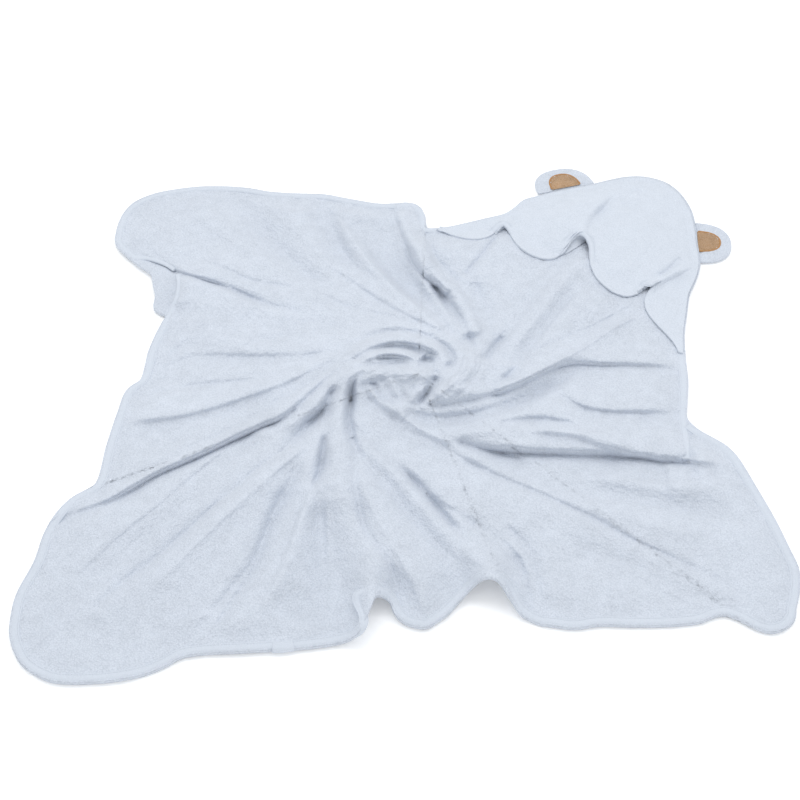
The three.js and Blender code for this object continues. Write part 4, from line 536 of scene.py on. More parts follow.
def build_sheet():
    rings = ring_plan()
    F, starts = [], []
    count = 0
    for s, n in rings:
        B = RIM_LOOP[:: 3072 // n]
        F.append(MID + (B - MID) * s)
        starts.append(count); count += n
    F = np.concatenate(F)
    rd = rim_distance(F)
    z = sheet_height(F, rd)
    # cloth does not crease more sharply than its own thickness
    for _ in range(2):
        zs = z.copy()
        for k in range(len(rings)):
            n, a = rings[k][1], starts[k]
            q = zs[a:a + n]
            q = (np.roll(q, 1) + 2 * q + np.roll(q, -1)) / 4
            if 0 < k < len(rings) - 1 and rings[k - 1][1] == n == rings[k + 1][1]:
                q = q / 2 + (zs[starts[k - 1]:starts[k - 1] + n] + zs[starts[k + 1]:starts[k + 1] + n]) / 4
            z[a:a + n] = q
    # pile and slub: small irregularity that also breaks up the silhouette
    z = z + 0.42 * N4(F[:, 0] / 4.1, F[:, 1] / 4.3) + 0.25 * N2(F[:, 0] / 2.3 + 5, F[:, 1] / 2.5)
    top = lift(F, z)
    midz = sheet_height(MID[None], np.array([200.0]))
    tris = []
    for k in range(len(rings) - 1):
        n, m = rings[k][1], rings[k + 1][1]
        a, b = starts[k], starts[k + 1]
        i = np.arange(n); j = (i + 1) % n
        if n == m:
            tris += [np.stack([a + i, a + j, b + j], 1), np.stack([a + i, b + j, b + i], 1)]
        else:
            c = np.arange(m); c1 = (c + 1) % m
            f0, f1, f2 = 2 * c, 2 * c + 1, (2 * c + 2) % n
            tris += [np.stack([a + f0, a + f1, b + c], 1), np.stack([a + f1, a + f2, b + c1], 1), np.stack([a + f1, b + c1, b + c], 1)]
    n, a = rings[-1][1], starts[-1]
    i = np.arange(n)
    tris += [np.stack([a + i, a + (i + 1) % n, np.full(n, count)], 1)]
    top = np.concatenate([top, lift(MID[None], midz)])
    top_tris = np.concatenate(tris)
    # lower face: the same rings, thinned, one cloth thickness below
    low_rings = [r for r in range(0, len(rings), 3)]
    if low_rings[-1] != len(rings) - 1:
        low_rings.append(len(rings) - 1)
    low, lstart, lcount, lt = [], [], 0, []
    off = len(top)
    for q in low_rings:
        s, n = rings[q]; n2 = max(n // 2, 192) if n > 192 else n
        step = n // n2
        P = top[starts[q]:starts[q] + n:step].copy()
        P[:, 2] = np.maximum(P[:, 2] - 0.0041, 0.0003)
        low.append(P); lstart.append(off + lcount); lcount += n2
    sizes = [len(p) for p in low]
    for k in range(len(low) - 1):
        n, m = sizes[k], sizes[k + 1]; a, b = lstart[k], lstart[k + 1]
        i = np.arange(n); j = (i + 1) % n
        if n == m:
            lt += [np.stack([a + i, b + j, a + j], 1), np.stack([a + i, b + i, b + j], 1)]
        else:
            c = np.arange(m); c1 = (c + 1) % m
            f0, f1, f2 = 2 * c, 2 * c + 1, (2 * c + 2) % n
            lt += [np.stack([a + f0, b + c, a + f1], 1), np.stack([a + f1, b + c1, a + f2], 1), np.stack([a + f1, b + c, b + c1], 1)]
    n, a = sizes[-1], lstart[-1]
    i = np.arange(n)
    cidx = off + lcount
    lt += [np.stack([a + i, np.full(n, cidx), a + (i + 1) % n], 1)]
    cm = lift(MID[None], midz); cm[:, 2] -= 0.0041
    # wall at the rim: 1536 above, 768 below
    c = np.arange(sizes[0]); c1 = (c + 1) % sizes[0]; b = lstart[0]
    f0, f1, f2 = 2 * c, 2 * c + 1, (2 * c + 2) % 1536
    wall = [np.stack([f0, b + c, f1], 1), np.stack([f1, b + c, b + c1], 1), np.stack([f1, b + c1, f2], 1)]
    V = np.concatenate([top] + low + [cm])
    T = np.concatenate([top_tris] + lt + wall)
    ob = mesh_object("towel_terry", V, triangles_out(V, T))
    return ob


# ------------------------------------------------------------------ binding tape
TAPE_RUNS = [
    # under the upper layer, round the right front corner, the front edge, the left front corner and up the left side
    [(333, -38), (339, -46), (346, -53), (357, -62), (367, -72), (374, -82), (380, -95), (392, -136), (405, -184), (413, -222), (418, -250), (415, -275),
     (407, -302), (402, -316), (391, -327), (376, -331), (360, -325), (345, -314), (332, -309), (320, -312), (307, -318), (278, -322), (240, -323), (202, -322),
     (178, -326), (156, -323), (140, -320), (130, -314), (122, -306), (116, -295), (112, -282), (108, -272), (103, -266), (99, -263), (92, -262), (86, -264),
     (75, -275), (61, -293), (50, -307), (40, -316), (27, -325), (16, -324), (6, -320), (-2, -313), (-7, -304), (-11, -293), (-17, -286), (-24, -284), (-31, -285),
     (-40, -287), (-38, -296), (-34, -306), (-32, -316), (-34, -326), (-40, -335), (-57, -343), (-85, -349), (-114, -352), (-160, -355), (-203, -358), (-219, -362), (-233, -372),
     (-252, -382), (-280, -389), (-309, -392), (-330, -392), (-348, -389), (-374, -373), (-386, -356), (-394, -336), (-397, -310), (-396, -283), (-385, -240),
     (-381, -203), (-375, -180), (-366, -161), (-356, -148), (-345, -139), (-336, -130), (-331, -70), (-325, -15), (-321, 13), (-314, 25), (-307, 33), (-303, 55),
     (-302, 80), (-297, 110), (-291, 135), (-285, 160), (-281, 185), (-281, 208), (-285, 226)],
    # back left lobe, the roll in the back edge, the hood's corner and down the right side to the folded layer's corner
    [(-288, 233), (-301, 244), (-322, 254), (-341, 255), (-355, 269), (-368, 288), (-370, 312), (-368, 338), (-363, 357), (-353, 374), (-330, 391), (-306, 400), (-270, 407),
     (-228, 407), (-201, 403), (-176, 396), (-140, 392), (-102, 390), (-71, 381), (-29, 370), (-8, 370), (8, 372), (19, 369), (28, 359), (33, 348), (34, 336),
     (34, 320), (46, 319), (60, 320), (88, 329), (112, 338), (138, 348), (150, 359), (166, 378), (181, 385), (205, 395), (235, 405), (264, 414), (285, 422), (309, 429), (333, 429),
     (358, 418), (370, 404), (379, 385), (386, 355), (387, 326), (385, 290), (382, 243), (373, 215), (362, 189), (353, 150), (345, 112), (341, 70), (339, 33), (334, 0),
     (330, -30), (329, -62), (326, -94)],
]
HOOD_ZONE = [(52, 318), (88, 329), (138, 348), (181, 385), (264, 414), (333, 429), (386, 355), (382, 243), (345, 112), (338, 80)]


def sweep_tube(path, zc, section, name):
    """section: (inset, rise) points in mm swept along floor-plane path with surface height zc; closed at both ends"""
    n, m = len(path), len(section)
    t = np.gradient(path, axis=0)
    for _ in range(3):
        t[1:-1] = (t[:-2] + 2 * t[1:-1] + t[2:]) / 4
    t /= np.linalg.norm(t, axis=1)[:, None]
    nrm = np.stack([-t[:, 1], t[:, 0]], 1)              # left of the run is the cloth side
    sec = np.array(section, float)
    V = np.zeros((n, m, 3))
    for j in range(m):
        F = path + nrm * sec[j, 0]
        V[:, j] = lift(F, zc)
        V[:, j, 2] += sec[j, 1] * 0.001
    V[:, :, 2] = np.maximum(V[:, :, 2], 0.0002)
    V = V.reshape(-1, 3)
    i, j = np.meshgrid(np.arange(n - 1), np.arange(m), indexing="ij")
    i, j = i.ravel(), j.ravel(); k = (j + 1) % m
    tris = np.concatenate([np.stack([i * m + j, (i + 1) * m + j, (i + 1) * m + k], 1), np.stack([i * m + j, (i + 1) * m + k, i * m + k], 1)])
    V = np.concatenate([V, V[:m].mean(0)[None], V[-m:].mean(0)[None]])
    q = np.arange(m); q1 = (q + 1) % m
    caps = np.concatenate([np.stack([q, q1, np.full(m, n * m)], 1), np.stack([(n - 1) * m + q1, (n - 1) * m + q, np.full(m, n * m + 1)], 1)])
    T = np.concatenate([tris, caps])
    return V, triangles_out(V, T)


# rounded U of the tape: from the inner edge on top, over the outer edge, to the inner edge below
TAPE_SECTION = [(9.6, -0.1), (9.4, 0.35), (8.9, 0.55), (8.2, 0.5), (7.6, 0.25), (7.0, 0.5), (5.4, 0.75), (3.4, 0.78), (1.6, 0.5), (0.5, -0.2), (0.0, -1.1), (0.1, -2.2), (0.8, -3.1), (2.6, -3.5), (9.0, -3.5), (9.4, -2.0)]


def tape_height(path):
    t = np.gradient(path, axis=0); t /= np.linalg.norm(t, axis=1)[:, None]
    nrm = np.stack([-t[:, 1], t[:, 0]], 1)
    z = sheet_height(path + nrm * 5.5)
    z2 = sheet_height(path + nrm * 2.0)
    z = 0.6 * z + 0.4 * z2
    k = np.array([1, 4, 6, 4, 1]) / 16
    for _ in range(4):
        z = np.convolve(np.pad(z, 2, mode="edge"), k, mode="valid")
    return z


def merge(name, parts):
    V, T, off = [], [], 0
    for v, t in parts:
        V.append(v); T.append(t + off); off += len(v)
    return mesh_object(name, np.concatenate(V), np.concatenate(T))


def stitches(path, zc, inset, rise, pitch, length, radius):
    """a row of short thread stitches lying along the path"""
    s = np.concatenate([[0], np.cumsum(np.linalg.norm(np.diff(path, axis=0), axis=1))])
    t = np.gradient(path, axis=0); t /= np.linalg.norm(t, axis=1)[:, None]
    nrm = np.stack([-t[:, 1], t[:, 0]], 1)
    L = path + nrm * inset
    q = np.arange(pitch, s[-1] - pitch, pitch)
    prof = [(-0.5, 0.35, -0.35), (-0.3, 0.85, 0.1), (0.0, 1.0, 0.3), (0.3, 0.85, 0.1), (0.5, 0.35, -0.35)]
    m = 6
    ang = np.arange(m) * 2 * np.pi / m
    V, T = [], []
    rows = []
    for a, w, h in prof:
        c = q + a * length
        F = np.stack([np.interp(c, s, L[:, 0]), np.interp(c, s, L[:, 1])], 1)
        z = np.interp(c, s, zc)
        N = np.stack([np.interp(c, s, nrm[:, 0]), np.interp(c, s, nrm[:, 1])], 1)
        P = lift(F, z); P[:, 2] += (rise + h * radius) * 0.001
        ring = P[:, None, :].repeat(m, 1)
        ring[:, :, 0] += N[:, None, 0] * np.cos(ang)[None] * w * radius * 0.001
        ring[:, :, 1] += N[:, None, 1] * np.cos(ang)[None] * w * radius * 0.001
        ring[:, :, 2] += np.sin(ang)[None] * w * radius * 0.001
        rows.append(ring)
    R = np.stack(rows, 1)                                # stitch, row, around, xyz
    ns, nr = R.shape[:2]
    V = R.reshape(-1, 3)
    faces = []
    base = np.arange(ns)[:, None] * nr * m
    for r in range(nr - 1):
        for a in range(m):
            b = (a + 1) % m
            faces.append(base + np.array([r * m + a, r * m + b, (r + 1) * m + b])[None])
            faces.append(base + np.array([r * m + a, (r + 1) * m + b, (r + 1) * m + a])[None])
    for a in range(1, m - 1):
        faces.append(base + np.array([0, a + 1, a])[None])
        faces.append(base + np.array([(nr - 1) * m, (nr - 1) * m + a, (nr - 1) * m + a + 1])[None])
    return V, triangles_out(V, np.concatenate(faces))


# ------------------------------------------------------------------ hood
HOOD_FREE = [  # floor-plane x, y and height of the hem's upper face
    (50, 314, 6.5), (58, 311, 7), (66, 306, 7.5), (80, 300, 8), (95, 297, 8.5), (108, 299, 9), (118, 304, 11), (126, 313, 15), (132, 322, 18), (136, 325, 19), (140, 318, 18),
    (144, 306, 16), (149, 292, 14), (156, 279, 12), (166, 267, 10), (178, 259, 9.5), (190, 256, 9), (200, 259, 10), (208, 268, 13), (215, 281, 17), (222, 294, 22),
    (230, 303, 26), (236, 305, 27), (241, 299, 26), (244, 286, 23), (244, 270, 20), (243, 254, 17), (244, 239, 14), (247, 224, 12), (253, 210, 11), (262, 197, 9.5),
    (272, 188, 9), (284, 184, 9), (295, 188, 10), (304, 197, 14), (311, 205, 18), (315, 207, 19), (314, 199, 18), (309, 189, 16), (305, 178, 13), (304, 165, 11), (307, 150, 10),
    (314, 133, 9), (322, 118, 8.5), (329, 104, 8.2), (333, 92, 8), (335, 82, 7.5),
]
HOOD_RIM = [(48, 318), (70, 323), (88, 328), (112, 337), (130, 344), (141, 351), (152, 362), (166, 377), (181, 384), (205, 394), (235, 404), (264, 413), (285, 421), (309, 428), (333, 428),
            (357, 417), (369, 403), (378, 385), (385, 355), (386, 326), (384, 290), (381, 243), (372, 215), (361, 189), (352, 150), (344, 112), (340, 80)]
HOOD_INSIDE = [  # heights inside the hood
    (100, 318, 9), (120, 328, 12), (140, 336, 15), (158, 340, 16), (160, 318, 16), (170, 295, 14), (182, 275, 12), (196, 300, 16), (200, 330, 19), (214, 310, 20), (205, 360, 18),
    (228, 330, 25), (240, 345, 24), (250, 370, 22), (240, 385, 17), (262, 345, 20), (265, 320, 22), (262, 290, 22), (258, 260, 19), (262, 230, 16), (280, 210, 12), (275, 390, 18),
    (284, 360, 20), (300, 330, 22), (295, 290, 21), (292, 250, 18), (305, 225, 16), (300, 390, 16), (318, 372, 16), (332, 330, 20), (330, 290, 20), (322, 250, 18), (332, 228, 19), (345, 395, 14),
    (352, 360, 16), (352, 310, 16), (350, 262, 15), (352, 240, 17), (355, 222, 13), (336, 200, 13), (330, 180, 14), (326, 155, 13), (334, 130, 10), (345, 170, 10), (320, 405, 13),
]
HOOD_FOLDS = [
    ("R", 5, 9, 0, 1, .2, [(236, 303), (239, 318), (246, 337), (256, 356), (268, 375), (280, 392)]),
    ("G", -4.5, 12, 0, .5, .1, [(243, 303), (247, 318), (254, 334), (264, 350), (275, 366), (288, 384), (300, 396)]),
    ("G", -1.2, 4, 0, .3, .1, [(252, 332), (262, 350), (270, 359), (276, 370), (284, 382), (290, 390)]),
    ("G", -5, 9, 0, .1, .2, [(296, 356), (304, 371), (313, 386), (320, 397), (326, 406)]),
    ("G", -6, 5, 0, .4, .1, [(320, 216), (330, 224), (338, 231), (346, 240), (354, 250), (362, 262)]),
    ("G", -5, 5, 0, .3, .1, [(326, 203), (340, 209), (351, 217), (360, 224), (374, 236)]),
    ("R", 4, 6, 0, 1, .1, [(315, 207), (330, 217), (345, 228), (360, 240)]),
    ("G", -4, 9, 0, .6, .1, [(146, 350), (150, 338), (156, 322)]),
    ("R", 3, 14, 0, .2, .1, [(190, 268), (200, 310), (215, 350), (230, 380)]),
    ("G", -2.5, 9, 0, .1, .1, [(176, 350), (200, 362), (226, 372)]),
    ("R", 3, 16, 0, .2, .1, [(284, 200), (296, 250), (314, 300), (326, 350)]),
    ("G", -3, 10, 0, .2, .1, [(352, 330), (358, 360), (352, 390)]),
]


def thin_plate(P, z, X, soft=0.5):
    def U(a, b):
        r2 = ((a[:, None] - b[None]) ** 2).sum(2)
        return np.where(r2 > 0, r2 * np.log(r2 + 1e-12), 0)
    n = len(P)
    A = np.zeros((n + 3, n + 3))
    A[:n, :n] = U(P, P) + soft * np.eye(n)
    A[:n, n] = 1; A[:n, n + 1:] = P; A[n, :n] = 1; A[n + 1:, :n] = P.T
    w = np.linalg.solve(A, np.concatenate([z, [0, 0, 0]]))
    out = np.zeros(len(X))
    for i in range(0, len(X), 20000):
        Q = X[i:i + 20000]
        out[i:i + 20000] = U(Q, P) @ w[:n] + w[n] + Q @ w[n + 1:]
    return out


def hood_height(X, free, rimh):
    S = 0.01
    P = np.concatenate([free[::12, :2], rimh[::16], np.array([p[:2] for p in HOOD_INSIDE])])
    z = np.concatenate([free[::12, 2], np.full(len(rimh[::16]), 7.2), np.array([p[2] for p in HOOD_INSIDE])])
    h = thin_plate(P * S, z, X * S, 0.02)
    for kind, A, w1, w2, e0, e1, pts in HOOD_FOLDS:
        idx, dist, side, run, past = along(curve(pts, False, 4 * len(pts)), X, 4 * w1)
        env = np.minimum(e0 + (1 - e0) * smoothstep(0, .25, run), e1 + (1 - e1) * smoothstep(0, .25, 1 - run))
        h[idx] += (A * np.exp(-(dist / w1) ** (1.3 if kind == "G" else 2))) * env
    return h


def build_hood():
    n, m = 420, 120
    free = curve(HOOD_FREE, False, n)
    rimh = curve(HOOD_RIM, False, n)
    # the two edges in the same number of even steps, joined station to station
    key_free = [0, 0.06, 0.125, 0.19, 0.27, 0.40, 0.50, 0.60, 0.70, 0.80, 0.90, 1.0]
    v = np.linspace(0, 1, m)
    v = v ** 0.9
    F = rimh[:, None, :] * (1 - v)[None, :, None] + free[:, None, :2] * v[None, :, None]
    X = F.reshape(-1, 2)
    h = hood_height(X, free, rimh).reshape(n, m)
    # exact heights on the two edges
    wf = np.exp(-((1 - v) / 0.05) ** 2)[None, :]
    h = h * (1 - wf) + (free[:, 2] - 0.9)[:, None] * wf
    wr = np.exp(-(v / 0.06) ** 2)[None, :]
    h = h * (1 - wr) + 6.9 * wr
    under = sheet_height(X).reshape(n, m)
    h = np.maximum(h, under + 3.2)
    h = h + 0.16 * N4(F[..., 0] / 2.7, F[..., 1] / 2.9) + 0.5 * N2(F[..., 0] / 19, F[..., 1] / 17) * np.sin(np.pi * v)[None]
    top = lift(X, h.ravel())
    # lower face one cloth thickness below, along the surface normal
    P = top.reshape(n, m, 3)
    du = np.gradient(P, axis=0); dv = np.gradient(P, axis=1)
    nn = np.cross(du, dv); nn /= np.linalg.norm(nn, axis=2)[..., None] + 1e-12
    if nn[..., 2].mean() < 0:
        nn = -nn
    low = P - nn * 0.0027
    low[..., 2] = np.maximum(low[..., 2], 0.0008)
    i, j = np.meshgrid(np.arange(n - 1), np.arange(m - 1), indexing="ij"); i, j = i.ravel(), j.ravel()
    a, b, c, d = i * m + j, (i + 1) * m + j, (i + 1) * m + j + 1, i * m + j + 1
    T = [np.stack([a, b, c], 1), np.stack([a, c, d], 1)]
    o = n * m
    T += [np.stack([a + o, c + o, b + o], 1), np.stack([a + o, d + o, c + o], 1)]
    def wall(idx, flip):
        p, q = idx[:-1], idx[1:]
        w = [np.stack([p, q, q + o], 1), np.stack([p, q + o, p + o], 1)]
        return [x[:, ::-1] for x in w] if flip else w
    i, j = np.arange(n), np.arange(m)
    T += wall(i * m, True) + wall(i * m + m - 1, False) + wall(j, False) + wall((n - 1) * m + j, True)
    V = np.concatenate([top, low.reshape(-1, 3)])
    T = triangles_out(V, np.concatenate(T))
    return mesh_object("hood_terry", V, T), free


HEM_SECTION = [(8.4, 0.1), (8.1, 0.6), (7.4, 0.8), (6.7, 0.45), (6.1, 0.8), (4.0, 1.1), (1.8, 1.0), (0.6, 0.5), (0.0, -0.6), (0.0, -2.0), (0.6, -3.0), (2.0, -3.5), (7.8, -3.4), (8.2, -1.6)]


# ------------------------------------------------------------------ ears
EARS = {
    "left": (np.array([206.688, 375.738]), np.array([0.957936, 0.286981]), np.array([-0.286981, 0.957936])),
    "right": (np.array([368.864, 256.800]), np.array([-0.090084, -0.995934]), np.array([0.995934, -0.090084])),
}


def ear_outline(scale, n=120, wide=1.0):
    """points of the ear's edge, from one end of the seam round to the other, local x along the seam, y outwards"""
    t = np.linspace(0, np.pi, n)
    c, s = np.cos(t), np.sin(t)
    x = 40.0 * scale * wide * np.sign(c) * np.abs(c) ** 0.86
    y = 44.0 * scale * s ** 0.80
    return np.stack([x, y], 1)


def ear_shell(name, side, scale, z0, z1, bulge, power, shift=0.0, down=False, fuzz=0.12, rings=26, wide=1.0):
    at, ax, out = EARS[side]
    edge = ear_outline(scale, wide=wide)
    n = len(edge)
    mid = np.array([0, 15.0 * scale])
    rr = np.linspace(1, 0, rings) ** 1.0
    pts, hs = [], []
    loop = np.concatenate([edge, np.stack([np.linspace(edge[-1, 0], edge[0, 0], 42)[1:-1], np.zeros(40)], 1)])
    k = len(loop)
    for r in rr[:-1]:
        pts.append(mid + (loop - mid) * r)
        hs.append(np.full(k, (1 - r ** power) ** (1 / power)))
    pts = np.concatenate(pts); hs = np.concatenate(hs)
    pts = np.concatenate([pts, mid[None]]); hs = np.concatenate([hs, [1.0]])
    # seam end stays thin
    seam = smoothstep(0, 9, pts[:, 1])
    hs = hs * (0.25 + 0.75 * seam)
    fz = fuzz * N4(pts[:, 0] / 2.3 + 7, pts[:, 1] / 2.1) + 0.5 * fuzz * N2(pts[:, 0] / 1.1, pts[:, 1] / 1.3)
    top_z = z0 + (z1 - z0) * 0.35 + bulge * hs + fz * hs
    bot_z = np.full(len(pts), z0)
    if down:
        top_z, bot_z = np.full(len(pts), z1), z1 - (z1 - z0) * 0.3 - bulge * hs
        bot_z = np.maximum(bot_z, 0.25)
    ns = len(rr) - 1
    T = []
    for a in range(ns - 1):
        i = np.arange(k); j = (i + 1) % k
        T += [np.stack([a * k + i, a * k + j, (a + 1) * k + j], 1), np.stack([a * k + i, (a + 1) * k + j, (a + 1) * k + i], 1)]
    i = np.arange(k); j = (i + 1) % k
    T += [np.stack([(ns - 1) * k + i, (ns - 1) * k + j, np.full(k, ns * k)], 1)]
    T = np.concatenate(T)
    o = len(pts)
    wall = np.concatenate([np.stack([i, i + o, j + o], 1), np.stack([i, j + o, j], 1)])
    T = np.concatenate([T, T[:, ::-1] + o, wall])
    y = pts[:, 1] + shift
    xy = at + pts[:, :1] * ax + y[:, None] * out
    V = np.concatenate([np.column_stack([xy, top_z]), np.column_stack([xy, bot_z])]) * 0.001
    return mesh_object(name, V, triangles_out(V, T))


def satin(name, side, scale, z, shift, width, count):
    """short threads lying across the edge of the patch, all the way round its curved side"""
    at, ax, out = EARS[side]
    edge = ear_outline(scale, 600, wide=0.77)
    s = np.concatenate([[0], np.cumsum(np.linalg.norm(np.diff(edge, axis=0), axis=1))])
    q = np.linspace(1.5, s[-1] - 1.5, count)
    E = np.stack([np.interp(q, s, edge[:, 0]), np.interp(q, s, edge[:, 1])], 1)
    t = np.gradient(E, axis=0); t /= np.linalg.norm(t, axis=1)[:, None]
    nr = np.stack([t[:, 1], -t[:, 0]], 1)
    rnd = RNG.uniform(-0.25, 0.25, count)
    m = 6; ang = np.arange(m) * 2 * np.pi / m
    rows = []
    rad = 0.38
    for a, w, h in ((-0.5, .5, -.5), (-.3, .95, .25), (0, 1, .55), (.3, .95, .25), (.5, .5, -.5)):
        c = E + nr * ((a * width) + rnd)[:, None]
        tt = t[:, None, :] * (np.cos(ang) * w * rad)[None, :, None]
        xy = c[:, None, :] + tt
        zz = z + h * 0.5 + np.sin(ang) * w * rad
        xy = xy + np.array([0, shift])
        W = at + xy[..., :1] * ax + xy[..., 1:] * out
        rows.append(np.concatenate([W, np.broadcast_to(zz[None, :, None], W.shape[:2] + (1,))], 2))
    R = np.stack(rows, 1) * 0.001
    ns, nrw = R.shape[:2]
    V = R.reshape(-1, 3); base = np.arange(ns)[:, None] * nrw * m; faces = []
    for r in range(nrw - 1):
        for a in range(m):
            b = (a + 1) % m
            faces.append(base + np.array([r * m + a, r * m + b, (r + 1) * m + b])[None])
            faces.append(base + np.array([r * m + a, (r + 1) * m + b, (r + 1) * m + a])[None])
    for a in range(1, m - 1):
        faces.append(base + np.array([0, a + 1, a])[None])
        faces.append(base + np.array([(nrw - 1) * m, (nrw - 1) * m + a, (nrw - 1) * m + a + 1])[None])
    return mesh_object(name, V, triangles_out(V, np.concatenate(faces)))


# ------------------------------------------------------------------ materials
def node(nt, kind, **kw):
    nd = nt.nodes.new(kind)
    for k, v in kw.items():
        setattr(nd, k, v)
    return nd


def cloth_material(name, color, loop_shade_color, loop_mm, bump, sheen, rough, weave=None, mottled=0.5):
    mat = bpy.data.materials.new(name)
    mat.use_nodes = True
    nt = mat.node_tree
    b = nt.nodes["Principled BSDF"]
    b.inputs["Roughness"].default_value = rough
    b.inputs["Sheen Weight"].default_value = sheen
    b.inputs["Sheen Roughness"].default_value = 0.45
    b.inputs["Specular IOR Level"].default_value = 0.15
    b.inputs["Subsurface Weight"].default_value = 0.0
    tc = node(nt, "ShaderNodeTexCoord")
    # loops of the pile
    vor = node(nt, "ShaderNodeTexVoronoi"); vor.inputs["Scale"].default_value = 1000.0 / loop_mm
    vor.inputs["Randomness"].default_value = 0.9
    n1 = node(nt, "ShaderNodeTexNoise"); n1.inputs["Scale"].default_value = 1000.0 / (loop_mm * 1.6); n1.inputs["Detail"].default_value = 4; n1.inputs["Roughness"].default_value = 0.65
    n2 = node(nt, "ShaderNodeTexNoise"); n2.inputs["Scale"].default_value = 1000.0 / 14.0; n2.inputs["Detail"].default_value = 3
    n3 = node(nt, "ShaderNodeTexNoise"); n3.inputs["Scale"].default_value = 1000.0 / 62.0; n3.inputs["Detail"].default_value = 2
    for x in (vor, n1, n2, n3):
        nt.links.new(tc.outputs["Object"], x.inputs["Vector"])
    add = node(nt, "ShaderNodeMath", operation="MULTIPLY_ADD"); nt.links.new(vor.outputs["Distance"], add.inputs[0]); add.inputs[1].default_value = -0.9
    nt.links.new(n1.outputs["Fac"], add.inputs[2])
    height_out = add.outputs[0]
    if weave:
        w1 = node(nt, "ShaderNodeTexWave", bands_direction="X"); w1.inputs["Scale"].default_value = weave; w1.inputs["Distortion"].default_value = 1.2
        w2 = node(nt, "ShaderNodeTexWave", bands_direction="Y"); w2.inputs["Scale"].default_value = weave; w2.inputs["Distortion"].default_value = 1.2
        nt.links.new(tc.outputs["Object"], w1.inputs["Vector"]); nt.links.new(tc.outputs["Object"], w2.inputs["Vector"])
        mul = node(nt, "ShaderNodeMath", operation="MULTIPLY"); nt.links.new(w1.outputs["Fac"], mul.inputs[0]); nt.links.new(w2.outputs["Fac"], mul.inputs[1])
        mx = node(nt, "ShaderNodeMath", operation="MULTIPLY_ADD"); nt.links.new(mul.outputs[0], mx.inputs[0]); mx.inputs[1].default_value = 0.9
        nt.links.new(height_out, mx.inputs[2]); height_out = mx.outputs[0]
    add2 = node(nt, "ShaderNodeMath", operation="MULTIPLY_ADD"); nt.links.new(n2.outputs["Fac"], add2.inputs[0]); add2.inputs[1].default_value = 0.8; nt.links.new(height_out, add2.inputs[2])
    bp = node(nt, "ShaderNodeBump"); bp.inputs["Strength"].default_value = bump; bp.inputs["Distance"].default_value = 0.0012
    nt.links.new(add2.outputs[0], bp.inputs["Height"])
    nt.links.new(bp.outputs["Normal"], b.inputs["Normal"])
    # colour: painted shade, the second colour darker between the loops where the pile dips, with slow random mottling
    ramp = node(nt, "ShaderNodeValToRGB")
    ramp.color_ramp.elements[0].position = 0.05; ramp.color_ramp.elements[0].color = (*color, 1)
    ramp.color_ramp.elements[1].position = 0.75; ramp.color_ramp.elements[1].color = (*loop_shade_color, 1)
    nt.links.new(vor.outputs["Distance"], ramp.inputs["Fac"])
    mr = node(nt, "ShaderNodeMapRange"); nt.links.new(n2.outputs["Fac"], mr.inputs["Value"])
    mr.inputs["From Min"].default_value = 0.3; mr.inputs["From Max"].default_value = 0.7
    mr.inputs["To Min"].default_value = 1 - 0.10 * mottled; mr.inputs["To Max"].default_value = 1.0
    mr3 = node(nt, "ShaderNodeMapRange"); nt.links.new(n3.outputs["Fac"], mr3.inputs["Value"])
    mr3.inputs["From Min"].default_value = 0.3; mr3.inputs["From Max"].default_value = 0.7
    mr3.inputs["To Min"].default_value = 1 - 0.05 * mottled; mr3.inputs["To Max"].default_value = 1.0
    mm = node(nt, "ShaderNodeMath", operation="MULTIPLY"); nt.links.new(mr.outputs[0], mm.inputs[0]); nt.links.new(mr3.outputs[0], mm.inputs[1])
    hsv = node(nt, "ShaderNodeVectorMath", operation="SCALE"); nt.links.new(ramp.outputs["Color"], hsv.inputs[0]); nt.links.new(mm.outputs[0], hsv.inputs["Scale"])
    nt.links.new(hsv.outputs[0], b.inputs["Base Color"])
    rr = node(nt, "ShaderNodeMapRange"); nt.links.new(n1.outputs["Fac"], rr.inputs["Value"]); rr.inputs["To Min"].default_value = rough - 0.08; rr.inputs["To Max"].default_value = min(1.0, rough + 0.05)
    nt.links.new(rr.outputs[0], b.inputs["Roughness"])
    return mat


# the second colour of each material is painted shade, laid between the loops of its pile
TERRY = cloth_material("terry_white", (0.72, 0.765, 0.845), (0.61, 0.655, 0.73), 2.1, 0.75, 0.25, 0.93, mottled=0.7)
HOODT = cloth_material("terry_hood", (0.71, 0.755, 0.83), (0.62, 0.665, 0.735), 1.7, 0.5, 0.25, 0.93, mottled=0.35)
TAPE = cloth_material("tape_white", (0.69, 0.735, 0.81), (0.62, 0.665, 0.735), 0.9, 0.3, 0.1, 0.85, weave=260, mottled=0.2)
THREAD = cloth_material("thread_white", (0.73, 0.775, 0.845), (0.63, 0.675, 0.74), 0.5, 0.3, 0.1, 0.7, mottled=0.1)
TAN = cloth_material("plush_tan", (0.63, 0.42, 0.26), (0.46, 0.28, 0.15), 1.5, 0.8, 0.3, 0.92, mottled=2.2)
TANTHREAD = cloth_material("thread_tan", (0.60, 0.34, 0.15), (0.46, 0.24, 0.10), 0.6, 0.4, 0.1, 0.75, mottled=0.4)


def dress(ob, mat):
    ob.data.materials.clear(); ob.data.materials.append(mat)
    return ob


# ------------------------------------------------------------------ make the pieces
terry = dress(build_sheet(), TERRY)
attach(terry, "root"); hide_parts("towel_panel")

